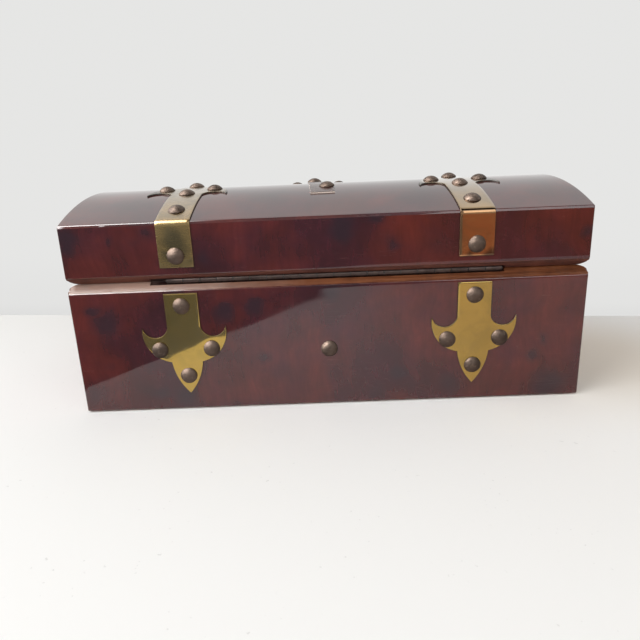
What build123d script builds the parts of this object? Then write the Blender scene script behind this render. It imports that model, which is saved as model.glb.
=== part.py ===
from build123d import *
from math import asin, cos, sin, sqrt
import os

os.makedirs("parts", exist_ok=True)

# A brass-bound wooden box with an arched lid, standing on its base.
# Millimetres. The origin is at the middle of the underside, X runs along the box,
# the hinge is at the back on +Y and the lock is at the front on -Y.

# Overall size
LENGTH = 240.0
DEPTH = 124.0
SEAM = 63.5
LID_SIDE_TOP = 90.3
CROWN = 104.8

# Walls and skins
WALL = 10.0
VENEER = 0.9
BOTTOM_BOARD = 6.0
LID_TOP_WALL = 8.0
FELT = 0.6
FELT_INSET = 3.0
EDGE_ROUND = 0.5
CORNER_ROUND = 1.2
SEAM_GAP = 0.2
BASE_CHAMFER = 4.0
LID_CHAMFER = 3.0
END_ROUND_REACH = 5.0
BASE_END_DROP = 1.6
LID_END_DROP = 2.6

# Lining
WALL_LINING = 1.0
LINING_LIP = 2.0
FLOOR_PAD = 4.0
LID_PAD = 3.5
SOFT_GAP = 0.3

# Piano hinge: it sits a little off the middle, in a channel that runs on past one end
HINGE_INSET = 3.0
HINGE_X = -3.2
KNUCKLE_RADIUS = 1.35
KNUCKLE_PITCH = 7.75
KNUCKLE_COUNT = 20
KNUCKLE_GAP = 0.2
PIN_RADIUS = 0.6
PIN_CLEARANCE = 0.05
PIN_END = 0.5
LEAF = 0.8
BARREL_RELIEF = 0.4
MORTISE_END = 1.5
MORTISE_SPARE = 8.0
HINGE_SCREWS = 5
HINGE_SCREW_PITCH = 31.0
HINGE_SCREW_INSET = 3.6

# Screws and the clearance round every fastener
SCREW_HEAD_RADIUS = 1.6
SCREW_SHANK_RADIUS = 0.8
SCREW_LENGTH = 6.0
SCREW_SLOT = 0.4
FASTENER_GAP = 0.05

# Brass straps and their dome-headed rivets
STRAP = 0.7
STRAP_WIDTH = 15.6
STRAP_INSET = 52.0
STRAP_FOLD_ROUND = 1.0
STRAP_LEG_GAP = 3.5
RIVET_RADIUS = 3.9
RIVET_HEIGHT = 2.3
RIVET_EDGE = 0.4
RIVET_SHANK_RADIUS = 1.2
RIVET_SHANK = 6.0

# Anchor-shaped end of a strap, measured from the line through its two arm rivets
ANCHOR_HORN_REACH = 19.6
ANCHOR_HORN_RISE = 10.8
ANCHOR_HOLLOW_REACH = 13.3
ANCHOR_HOLLOW_RISE = 6.0
ANCHOR_SHOULDER_RISE = 10.5
ANCHOR_BELLY_REACH = 17.6
ANCHOR_BELLY_DROP = 0.6
ANCHOR_NOTCH_REACH = 7.4
ANCHOR_NOTCH_DROP = 6.3
ANCHOR_TIP_BULGE = 1.6
ARM_RIVET_REACH = 12.3
TIP_RIVET_DROP = 13.2

# Base mounts
MOUNT_TOP_GAP = 1.5
MOUNT_ARM_DROP = 27.0
MOUNT_TIP = 22.3
MOUNT_TOP_RIVET_DROP = 6.0
BACK_STUD_HEIGHT = 28.5

# Lid straps: the back ones reach nearly to the ridge of the lid, the front ones are shorter
LID_TIP = 20.5
RIDGE_GAP = 0.5
FRONT_ARM_PAST_RIDGE = 41.5
LEG_RIVET_RISE = 5.3
FOLD_RIVET_INSET = 9.5
STRAP_RIVET_RISE = 9.5

# Centre strap: comes up from the front, crosses the ridge and ends in a square tail
CENTRE_X = 2.4
CENTRE_ARM_PAST_RIDGE = 23.0
CENTRE_SKEW = 2.0
TAIL_WIDTH = 12.0
TAIL_PAST_RIDGE = 37.0
TAIL_RIVET_INSET = 12.0
TAIL_RIVET_SIDE = -2.7
CENTRE_TIP_RIVET_SIDE = 2.5
CENTRE_TIP_RIVET_DROP = 17.2

# Lock: a case let into the front board, a sliding bolt and two link loops on the lid
LOCK_HALF_LENGTH = 20.0
LOCK_CASE_WALL = 0.8
LOCK_CASE_DEPTH = 6.2
LOCK_CASE_HEIGHT = 16.2
SELVEDGE = 1.2
SELVEDGE_OVERHANG = 5.0
SELVEDGE_SCREW_INSET = 2.5
LOCK_GAP = 0.1
LINK_PLACE = 9.5
LINK_THICKNESS = 2.0
LINK_DEPTH = 4.2
LINK_DROP = 7.2
LINK_WINDOW_HEIGHT = 3.4
LINK_WINDOW_DEPTH = 2.8
LINK_WINDOW_RISE = 1.1
LINK_CLEARANCE = 0.7
LINK_PLATE = 1.0
LINK_PLATE_HALF_LENGTH = 18.0
LINK_PLATE_WIDTH = 6.0
BOLT_THICKNESS = 2.0
BOLT_BAR_HEIGHT = 3.0
BOLT_FINGER = 2.2
BOLT_HOOK_HEIGHT = 2.0
BOLT_HOOK_LENGTH = 3.0
BOLT_START_GAP = 0.5
BOLT_TRAVEL = 3.2
BOLT_LEDGE = 1.5
KEYHOLE_RADIUS = 1.7
KEYHOLE_SLOT = 1.6
KEYHOLE_DROP = 5.0
KEYHOLE_RISE = 4.0

# Sizes worked out from the ones above
HALF_LENGTH = LENGTH / 2
HALF_DEPTH = DEPTH / 2
ARCH_RISE = CROWN - LID_SIDE_TOP
ARCH_RADIUS = (HALF_DEPTH**2 + ARCH_RISE**2) / (2 * ARCH_RISE)
ARCH_CENTRE = CROWN - ARCH_RADIUS
CARCASS_X = HALF_LENGTH - VENEER
CARCASS_Y = HALF_DEPTH - VENEER
STRAP_PLACE = HALF_LENGTH - STRAP_INSET
INNER_X = HALF_LENGTH - WALL
INNER_Y = HALF_DEPTH - WALL
VENEER_RADIUS = ARCH_RADIUS - VENEER
CEILING_RADIUS = ARCH_RADIUS - LID_TOP_WALL
FLOOR = FELT + BOTTOM_BOARD
BASE_RIM = SEAM - SEAM_GAP / 2
LID_RIM = SEAM + SEAM_GAP / 2
BASE_FACE_TOP = SEAM - BASE_CHAMFER
LID_FACE_LOW = SEAM + LID_CHAMFER
AXIS_Y = HALF_DEPTH - HINGE_INSET
HINGE_LENGTH = KNUCKLE_PITCH * KNUCKLE_COUNT
HINGE_LOW_X = HINGE_X - HINGE_LENGTH / 2
HINGE_HIGH_X = HINGE_X + HINGE_LENGTH / 2
STRAP_RADIUS = ARCH_RADIUS + STRAP


def block(x_low, x_high, y_low, y_high, z_low, z_high):
    """A box between two corners."""
    middle = Pos((x_low + x_high) / 2, (y_low + y_high) / 2, (z_low + z_high) / 2)
    return middle * Box(x_high - x_low, y_high - y_low, z_high - z_low)


def arched_block(half_x, half_y, low, radius):
    """A block whose top is an arc about the lid's arch centre line."""
    shoulder = ARCH_CENTRE + sqrt(radius**2 - half_y**2)
    sides = Polyline((-half_y, shoulder), (-half_y, low), (half_y, low), (half_y, shoulder))
    arch = ThreePointArc((half_y, shoulder), (0, ARCH_CENTRE + radius), (-half_y, shoulder))
    return extrude(Plane.YZ * make_face(sides + arch), half_x, both=True)


def barrel(radius, x_low, x_high):
    """A cylinder on the hinge axis."""
    middle = Pos((x_low + x_high) / 2, AXIS_Y, SEAM)
    return middle * Rot(0, 90, 0) * Cylinder(radius, x_high - x_low)


def rivet():
    """A domed rivet standing on its own XY plane, with its shank below."""
    cap = RIVET_HEIGHT - RIVET_EDGE
    ball = (RIVET_RADIUS**2 + cap**2) / (2 * cap)
    half_angle = asin(RIVET_RADIUS / ball) / 2
    crest = (ball * sin(half_angle), RIVET_HEIGHT - ball + ball * cos(half_angle))
    side = Polyline(
        (0, RIVET_HEIGHT), (0, -RIVET_SHANK), (RIVET_SHANK_RADIUS, -RIVET_SHANK),
        (RIVET_SHANK_RADIUS, 0), (RIVET_RADIUS, 0), (RIVET_RADIUS, RIVET_EDGE),
    )
    dome = ThreePointArc((RIVET_RADIUS, RIVET_EDGE), crest, (0, RIVET_HEIGHT))
    return revolve(Plane.XZ * make_face(side + dome), Axis.Z)


def rivet_hole():
    """The hole that a rivet's shank passes through."""
    depth = RIVET_SHANK + FASTENER_GAP
    return Pos(0, 0, -depth / 2) * Cylinder(RIVET_SHANK_RADIUS + FASTENER_GAP, depth)


def screw(gap=0.0):
    """A countersunk screw with its head flush with its own XY plane, or its hole."""
    head = SCREW_HEAD_RADIUS + gap
    shank = SCREW_SHANK_RADIUS + gap
    sink = head - shank
    length = SCREW_LENGTH + gap
    body = Pos(0, 0, -sink / 2) * Cone(shank, head, sink)
    body += Pos(0, 0, -length / 2) * Cylinder(shank, length)
    if gap:
        return body
    return body - Box(2 * head, SCREW_SLOT, SCREW_SLOT)


def at_each(places, make):
    """A list of the same thing at each place."""
    return [place * make() for place in places]


def on_back(x, z, lift=STRAP):
    """A place on the back face, pointing outwards."""
    return Plane(origin=(x, HALF_DEPTH + lift, z), z_dir=(0, 1, 0))


def on_arch(x, y):
    """A place on top of a strap on the lid's arch, pointing outwards."""
    lean = y / STRAP_RADIUS
    rise = sqrt(1 - lean**2)
    origin = (x, y, ARCH_CENTRE + STRAP_RADIUS * rise)
    return Plane(origin=origin, x_dir=(1, 0, 0), z_dir=(0, lean, rise))


def to_front(places):
    """The same places mirrored to the front of the box."""
    return [
        Plane(
            origin=(place.origin.X, -place.origin.Y, place.origin.Z),
            x_dir=(1, 0, 0),
            z_dir=(place.z_dir.X, -place.z_dir.Y, place.z_dir.Z),
        )
        for place in places
    ]


def anchor_outline(root, tip):
    """The flat outline of a strap and its anchor: +Y runs to the tip, 0 is the arm rivets' line."""
    half = STRAP_WIDTH / 2
    tip_turn = (ANCHOR_NOTCH_REACH / 2 + ANCHOR_TIP_BULGE, (ANCHOR_NOTCH_DROP + tip) / 2)
    outline = Line((-half, -root), (half, -root))
    for side in (-1, 1):
        shoulder = (side * half, -ANCHOR_SHOULDER_RISE)
        hollow = (side * ANCHOR_HOLLOW_REACH, -ANCHOR_HOLLOW_RISE)
        horn = (side * ANCHOR_HORN_REACH, -ANCHOR_HORN_RISE)
        belly = (side * ANCHOR_BELLY_REACH, -ANCHOR_BELLY_DROP)
        notch = (side * ANCHOR_NOTCH_REACH, ANCHOR_NOTCH_DROP)
        outline += Line((side * half, -root), shoulder)
        outline += ThreePointArc(shoulder, hollow, horn)
        outline += ThreePointArc(horn, belly, notch)
        outline += ThreePointArc(notch, (side * tip_turn[0], tip_turn[1]), (0, tip))
    return make_face(outline)


# The wooden bodies as whole blocks, which the boards and veneers are cut from
def end_rounds(rim, away, drop):
    """What the two rounded-over ends of a rim lose. The rim lies at height rim, away is the
    side of it that is open air, and drop is how far the end has fallen at its outer edge."""
    start = HALF_LENGTH - END_ROUND_REACH
    radius = (END_ROUND_REACH**2 + drop**2) / (2 * drop)
    half_angle = asin(END_ROUND_REACH / radius) / 2
    crest = (start + radius * sin(half_angle), rim - away * radius * (1 - cos(half_angle)))
    end = (HALF_LENGTH, rim - away * drop)
    arc = ThreePointArc((start, rim), crest, end)
    outside = HALF_LENGTH + END_ROUND_REACH
    beyond = rim + away * drop
    air = Polyline(end, (outside, end[1]), (outside, beyond), (start, beyond), (start, rim))
    cut = extrude(Plane.XZ * make_face(arc + air), DEPTH, both=True)
    return [cut, mirror(cut, about=Plane.YZ)]


def base_form():
    """The outside of the base: long edges of the rim chamfered, its ends rounded over."""
    form = block(-HALF_LENGTH, HALF_LENGTH, -HALF_DEPTH, HALF_DEPTH, FELT, BASE_RIM)
    rim = form.faces().sort_by(Axis.Z)[-1].edges().filter_by(Axis.X)
    form = chamfer(rim, BASE_RIM - BASE_FACE_TOP)
    form = fillet(form.edges().filter_by(Axis.Z), CORNER_ROUND)
    return form - end_rounds(BASE_RIM, 1, BASE_END_DROP)


def lid_form():
    """The outside of the lid: an arched top with rounded edges over a rim like the base's."""
    form = arched_block(HALF_LENGTH, HALF_DEPTH, LID_RIM, ARCH_RADIUS)
    rim = form.faces().sort_by(Axis.Z)[0].edges().filter_by(Axis.X)
    form = chamfer(rim, LID_FACE_LOW - LID_RIM)
    form = fillet(form.edges().filter_by(Axis.Z), CORNER_ROUND)
    form = fillet(form.faces().sort_by(Axis.Z)[-1].edges(), EDGE_ROUND)
    return form - end_rounds(LID_RIM, -1, LID_END_DROP)


# Places of the rivets
mount_arm = BASE_FACE_TOP - MOUNT_TOP_GAP - MOUNT_ARM_DROP
mount_top = BASE_FACE_TOP - MOUNT_TOP_GAP
leg_low = LID_FACE_LOW + STRAP_LEG_GAP
lid_arm = RIDGE_GAP + LID_TIP


def mount_places(x, keyed=False):
    """Rivet places of a base mount on the back face. A keyed one has its keyhole on top."""
    places = [
        on_back(x - ARM_RIVET_REACH, mount_arm),
        on_back(x + ARM_RIVET_REACH, mount_arm),
        on_back(x, mount_arm - TIP_RIVET_DROP),
    ]
    if not keyed:
        places.append(on_back(x, mount_top - MOUNT_TOP_RIVET_DROP))
    return places


def strap_places(x, arm):
    """Rivet places of a lid strap drawn at the back, from its leg over the fold to its tip. A
    strap whose arms lie close to the fold has no room for a rivet between the two."""
    fold_rivet = HALF_DEPTH - FOLD_RIVET_INSET
    shaft_rivet = arm + STRAP_RIVET_RISE
    places = [
        on_back(x, leg_low + LEG_RIVET_RISE),
        on_arch(x, fold_rivet),
        on_arch(x - ARM_RIVET_REACH, arm),
        on_arch(x + ARM_RIVET_REACH, arm),
        on_arch(x, arm - TIP_RIVET_DROP),
    ]
    if shaft_rivet < fold_rivet - 2 * RIVET_RADIUS:
        places.append(on_arch(x, shaft_rivet))
    return places


centre_turn = Pos(CENTRE_X, -CENTRE_ARM_PAST_RIDGE, 0) * Rot(0, 0, CENTRE_SKEW)


def centre_place(side, along):
    """A place on the centre strap's arched part, in the strap's own skewed directions."""
    spot = (centre_turn * Pos(side, along, 0)).position
    return on_arch(spot.X, spot.Y)


def centre_places():
    """Rivet places of the centre strap."""
    tail = TAIL_PAST_RIDGE + CENTRE_ARM_PAST_RIDGE
    root = CENTRE_ARM_PAST_RIDGE - HALF_DEPTH
    leg_x = centre_place(0, root).origin.X
    leg = to_front([on_back(leg_x, leg_low + LEG_RIVET_RISE)])
    return leg + [
        centre_place(0, root + FOLD_RIVET_INSET),
        centre_place(0, -STRAP_RIVET_RISE),
        centre_place(-ARM_RIVET_REACH, 0),
        centre_place(ARM_RIVET_REACH, 0),
        centre_place(CENTRE_TIP_RIVET_SIDE, CENTRE_TIP_RIVET_DROP),
        centre_place(TAIL_RIVET_SIDE, tail - TAIL_RIVET_INSET),
    ]


sides = {"left": -STRAP_PLACE, "right": STRAP_PLACE}
base_places = {}
lid_places = {}
for side, x in sides.items():
    base_places["back_" + side] = mount_places(x)
    base_places["front_" + side] = to_front(mount_places(x))
    lid_places["back_" + side] = strap_places(x, lid_arm)
    lid_places["front_" + side] = to_front(strap_places(x, FRONT_ARM_PAST_RIDGE))
base_places["front_key"] = to_front(mount_places(0, keyed=True))
lid_places["centre"] = centre_places()
stud_places = [on_back(0, BACK_STUD_HEIGHT, lift=0)]

base_holes = [hole for places in base_places.values() for hole in at_each(places, rivet_hole)]
base_holes += at_each(stud_places, rivet_hole)
lid_holes = [hole for places in lid_places.values() for hole in at_each(places, rivet_hole)]

# Places of the screws
hinge_screw_x = [
    HINGE_X + HINGE_SCREW_PITCH * (turn - (HINGE_SCREWS - 1) / 2) for turn in range(HINGE_SCREWS)
]
hinge_screw_y = AXIS_Y - HINGE_SCREW_INSET
base_hinge_screw_places = [Pos(x, hinge_screw_y, BASE_RIM) for x in hinge_screw_x]
lid_hinge_screw_places = [Pos(x, hinge_screw_y, LID_RIM) * Rot(180, 0, 0) for x in hinge_screw_x]
lock_y = -INNER_Y - LOCK_CASE_DEPTH / 2
selvedge_end = LOCK_HALF_LENGTH + SELVEDGE_OVERHANG
selvedge_screw_x = selvedge_end - SELVEDGE_SCREW_INSET
link_plate_screw_x = LINK_PLATE_HALF_LENGTH - SELVEDGE_SCREW_INSET
lock_screw_places = [Pos(x, lock_y, BASE_RIM) for x in (-selvedge_screw_x, selvedge_screw_x)]
link_screw_places = [
    Pos(x, lock_y, LID_RIM) * Rot(180, 0, 0) for x in (-link_plate_screw_x, link_plate_screw_x)
]


def screw_hole():
    """The hole that a screw sits in."""
    return screw(FASTENER_GAP)


# Lock heights and lengths, from the rim down
case_top = BASE_RIM - SELVEDGE
case_low = case_top - LOCK_CASE_HEIGHT
case_front = -INNER_Y - LOCK_CASE_DEPTH
link_low = LID_RIM - LINK_DROP
window_low = link_low + LINK_WINDOW_RISE
hook_low = window_low + (LINK_WINDOW_HEIGHT - BOLT_HOOK_HEIGHT) / 2
bolt_top = link_low - LINK_CLEARANCE
bolt_low = bolt_top - BOLT_BAR_HEIGHT
keyhole_z = case_low + KEYHOLE_RISE


def keyhole(y_low, y_high):
    """A keyhole, a round eye with a slot below it, cut along Y."""
    eye = Pos(0, (y_low + y_high) / 2, keyhole_z) * Rot(90, 0, 0)
    eye *= Cylinder(KEYHOLE_RADIUS, y_high - y_low)
    slot = block(-KEYHOLE_SLOT / 2, KEYHOLE_SLOT / 2, y_low, y_high, keyhole_z - KEYHOLE_DROP, keyhole_z)
    return eye + slot


def lock_mortise():
    """The pocket in the front board for the lock case and its selvedge."""
    pocket = block(
        -LOCK_HALF_LENGTH - LOCK_GAP, LOCK_HALF_LENGTH + LOCK_GAP,
        case_front - LOCK_GAP, -INNER_Y, case_low, BASE_RIM,
    )
    step = block(
        -selvedge_end - LOCK_GAP, selvedge_end + LOCK_GAP,
        case_front - LOCK_GAP, -INNER_Y, case_top, BASE_RIM,
    )
    return pocket + step


def hinge_recess():
    """The round channel along the joint that clears the hinge barrel."""
    return barrel(KNUCKLE_RADIUS + BARREL_RELIEF, HINGE_LOW_X - MORTISE_END, HINGE_HIGH_X + MORTISE_SPARE)


def leaf_recess(low, high):
    """The rebate that a hinge leaf lies in, open to the inside of the box."""
    return block(HINGE_LOW_X - LOCK_GAP, HINGE_HIGH_X + LOCK_GAP, INNER_Y, AXIS_Y, low, high)


# Base: carcass boards under a veneer skin
def make_base(parts):
    """The boards and veneers of the base."""
    form = base_form()
    boards = {
        "base_front_board": block(-CARCASS_X, CARCASS_X, -CARCASS_Y, -INNER_Y, FLOOR, BASE_RIM),
        "base_back_board": block(-CARCASS_X, CARCASS_X, INNER_Y, CARCASS_Y, FLOOR, BASE_RIM),
        "base_left_end_board": block(-CARCASS_X, -INNER_X, -INNER_Y, INNER_Y, FLOOR, BASE_RIM),
        "base_right_end_board": block(INNER_X, CARCASS_X, -INNER_Y, INNER_Y, FLOOR, BASE_RIM),
    }
    veneers = {
        "base_front_veneer": block(-HALF_LENGTH, HALF_LENGTH, -HALF_DEPTH, -CARCASS_Y, FELT, BASE_RIM),
        "base_back_veneer": block(-HALF_LENGTH, HALF_LENGTH, CARCASS_Y, HALF_DEPTH, FELT, BASE_RIM),
        "base_left_veneer": block(-HALF_LENGTH, -CARCASS_X, -CARCASS_Y, CARCASS_Y, FELT, BASE_RIM),
        "base_right_veneer": block(CARCASS_X, HALF_LENGTH, -CARCASS_Y, CARCASS_Y, FELT, BASE_RIM),
    }
    for name, solid in (boards | veneers).items():
        parts[name] = form & solid
    for name in ("base_front_board", "base_back_board", "base_front_veneer", "base_back_veneer"):
        parts[name] -= base_holes
    parts["base_back_board"] -= [hinge_recess(), leaf_recess(BASE_RIM - LEAF, BASE_RIM)]
    parts["base_back_board"] -= at_each(base_hinge_screw_places, screw_hole)
    parts["base_front_board"] -= [lock_mortise(), keyhole(-HALF_DEPTH, -INNER_Y)]
    parts["base_front_board"] -= at_each(lock_screw_places, screw_hole)
    parts["base_front_veneer"] -= keyhole(-HALF_DEPTH, -CARCASS_Y)
    parts["base_bottom_board"] = block(-CARCASS_X, CARCASS_X, -CARCASS_Y, CARCASS_Y, FELT, FLOOR)
    felt_x = HALF_LENGTH - FELT_INSET
    felt_y = HALF_DEPTH - FELT_INSET
    parts["base_felt"] = block(-felt_x, felt_x, -felt_y, felt_y, 0, FELT)


def make_linings(parts):
    """The wall linings and the two soft pads."""
    lining_x = INNER_X - WALL_LINING
    lining_y = INNER_Y - WALL_LINING
    base_lining_top = BASE_RIM - LINING_LIP
    lid_lining_low = LID_RIM + LINING_LIP
    outer = block(-INNER_X, INNER_X, -INNER_Y, INNER_Y, FLOOR, base_lining_top)
    inner = block(-lining_x, lining_x, -lining_y, lining_y, FLOOR, base_lining_top)
    parts["base_wall_lining"] = outer - inner
    pad_x = lining_x - SOFT_GAP
    pad_y = lining_y - SOFT_GAP
    parts["base_floor_pad"] = block(-pad_x, pad_x, -pad_y, pad_y, FLOOR, FLOOR + FLOOR_PAD)
    lining_radius = CEILING_RADIUS - FASTENER_GAP
    outer = arched_block(INNER_X, INNER_Y, lid_lining_low, lining_radius)
    parts["lid_wall_lining"] = outer - block(-lining_x, lining_x, -lining_y, lining_y, 0, CROWN)
    pad_radius = CEILING_RADIUS - SOFT_GAP
    pad = arched_block(pad_x, pad_y, lid_lining_low, pad_radius)
    hollow = arched_block(pad_x, pad_y, lid_lining_low, pad_radius - LID_PAD)
    parts["lid_lining_pad"] = pad - hollow


# Lid: boards under an arched top board, then veneer
def make_lid(parts):
    """The boards and veneers of the lid."""
    form = lid_form()
    under_top = arched_block(CARCASS_X, CARCASS_Y, LID_RIM, CEILING_RADIUS)
    under_veneer = arched_block(HALF_LENGTH, HALF_DEPTH, LID_RIM, VENEER_RADIUS)
    walls = {
        "lid_front_board": block(-CARCASS_X, CARCASS_X, -CARCASS_Y, -INNER_Y, LID_RIM, CROWN),
        "lid_back_board": block(-CARCASS_X, CARCASS_X, INNER_Y, CARCASS_Y, LID_RIM, CROWN),
        "lid_left_end_board": block(-CARCASS_X, -INNER_X, -INNER_Y, INNER_Y, LID_RIM, CROWN),
        "lid_right_end_board": block(INNER_X, CARCASS_X, -INNER_Y, INNER_Y, LID_RIM, CROWN),
    }
    skins = {
        "lid_front_veneer": block(-HALF_LENGTH, HALF_LENGTH, -HALF_DEPTH, -CARCASS_Y, LID_RIM, CROWN),
        "lid_back_veneer": block(-HALF_LENGTH, HALF_LENGTH, CARCASS_Y, HALF_DEPTH, LID_RIM, CROWN),
        "lid_left_veneer": block(-HALF_LENGTH, -CARCASS_X, -CARCASS_Y, CARCASS_Y, LID_RIM, CROWN),
        "lid_right_veneer": block(CARCASS_X, HALF_LENGTH, -CARCASS_Y, CARCASS_Y, LID_RIM, CROWN),
    }
    for name, solid in walls.items():
        parts[name] = form & (under_top & solid)
    for name, solid in skins.items():
        parts[name] = form & (under_veneer & solid)
    top = arched_block(CARCASS_X, CARCASS_Y, LID_RIM, VENEER_RADIUS)
    parts["lid_top_board"] = top - arched_block(CARCASS_X, CARCASS_Y, 0, CEILING_RADIUS)
    parts["lid_top_veneer"] = form - under_veneer
    drilled = (
        "lid_front_board", "lid_back_board", "lid_top_board",
        "lid_front_veneer", "lid_back_veneer", "lid_top_veneer",
    )
    for name in drilled:
        parts[name] -= lid_holes
    parts["lid_back_board"] -= [hinge_recess(), leaf_recess(LID_RIM, LID_RIM + LEAF)]
    parts["lid_back_board"] -= at_each(lid_hinge_screw_places, screw_hole)
    plate_half = LINK_PLATE_HALF_LENGTH + LOCK_GAP
    plate_side = LINK_PLATE_WIDTH / 2 + LOCK_GAP
    parts["lid_front_board"] -= block(
        -plate_half, plate_half, lock_y - plate_side, lock_y + plate_side, LID_RIM, LID_RIM + LINK_PLATE
    )
    parts["lid_front_board"] -= at_each(link_screw_places, screw_hole)


def make_hinge(parts):
    """The two leaves of the piano hinge with their knuckles, the pin and the screws."""
    bore = barrel(PIN_RADIUS + PIN_CLEARANCE, HINGE_LOW_X, HINGE_HIGH_X)
    leaves = {
        "base_hinge_leaf": (0, BASE_RIM - LEAF, BASE_RIM, base_hinge_screw_places),
        "lid_hinge_leaf": (1, LID_RIM, LID_RIM + LEAF, lid_hinge_screw_places),
    }
    for name, (turn, low, high, places) in leaves.items():
        leaf = block(HINGE_LOW_X, HINGE_HIGH_X, INNER_Y + LOCK_GAP, AXIS_Y, low, high)
        knuckles = []
        reliefs = []
        for knuckle in range(KNUCKLE_COUNT):
            start = HINGE_LOW_X + knuckle * KNUCKLE_PITCH
            end = start + KNUCKLE_PITCH
            if knuckle % 2 == turn:
                knuckles.append(barrel(KNUCKLE_RADIUS, start + KNUCKLE_GAP / 2, end - KNUCKLE_GAP / 2))
            else:
                reliefs.append(barrel(KNUCKLE_RADIUS + BARREL_RELIEF, start, end))
        leaf = (leaf - reliefs) + knuckles
        parts[name] = leaf - bore - at_each(places, screw_hole)
    parts["hinge_pin"] = barrel(PIN_RADIUS, HINGE_LOW_X - PIN_END, HINGE_HIGH_X + PIN_END)
    parts["base_hinge_screws"] = Compound(at_each(base_hinge_screw_places, screw))
    parts["lid_hinge_screws"] = Compound(at_each(lid_hinge_screw_places, screw))


def make_base_mounts(parts):
    """The anchor-shaped plates on the base and the keyed one at the middle of the front."""
    outline = anchor_outline(MOUNT_ARM_DROP, MOUNT_TIP)
    plate = extrude(Plane(origin=(0, 0, 0), x_dir=(1, 0, 0), z_dir=(0, 1, 0)) * outline, STRAP)
    for side, x in sides.items():
        back = Pos(x, HALF_DEPTH, mount_arm) * plate
        parts["base_mount_back_" + side] = back - base_holes
        parts["base_mount_front_" + side] = mirror(back, about=Plane.XZ) - base_holes
    front = mirror(Pos(0, HALF_DEPTH, mount_arm) * plate, about=Plane.XZ)
    parts["base_key_plate"] = front - base_holes - keyhole(-HALF_DEPTH - STRAP, -HALF_DEPTH)
    for place, places in base_places.items():
        parts["base_rivets_" + place] = Compound(at_each(places, rivet))
    parts["base_back_stud"] = at_each(stud_places, rivet)[0]


def strap_shell():
    """The thin skin over the lid that every lid strap is cut from."""
    shell = arched_block(HALF_LENGTH, HALF_DEPTH + STRAP, leg_low, STRAP_RADIUS)
    shoulders = shell.edges().filter_by(Axis.X).group_by(Axis.Z)[-1]
    shell = fillet(shoulders, STRAP_FOLD_ROUND)
    return shell - arched_block(HALF_LENGTH, HALF_DEPTH, 0, ARCH_RADIUS)


def make_lid_straps(parts):
    """The four lid straps and the centre strap, folded over the lid's long edges."""
    shell = strap_shell()
    height = CROWN
    back_half = shell & block(-HALF_LENGTH, HALF_LENGTH, 0, HALF_DEPTH + STRAP, 0, 2 * CROWN)
    for end, arm in (("back_", lid_arm), ("front_", FRONT_ARM_PAST_RIDGE)):
        root = HALF_DEPTH - arm + 2 * STRAP
        plan = Pos(0, arm, 0) * Rot(0, 0, 180) * anchor_outline(root, LID_TIP)
        for side, x in sides.items():
            strap = back_half & extrude(Pos(x, 0, leg_low) * plan, height)
            if end == "front_":
                strap = mirror(strap, about=Plane.XZ)
            parts["lid_strap_" + end + side] = strap - lid_holes
    root = HALF_DEPTH - CENTRE_ARM_PAST_RIDGE + 2 * STRAP
    tail = TAIL_PAST_RIDGE + CENTRE_ARM_PAST_RIDGE
    plan = anchor_outline(root, MOUNT_TIP) + Pos(0, tail / 2) * Rectangle(TAIL_WIDTH, tail)
    strap = shell & extrude(Pos(0, 0, leg_low) * centre_turn * plan, height)
    parts["lid_centre_strap"] = strap - lid_holes
    for place, places in lid_places.items():
        parts["lid_rivets_" + place] = Compound(at_each(places, rivet))


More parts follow.
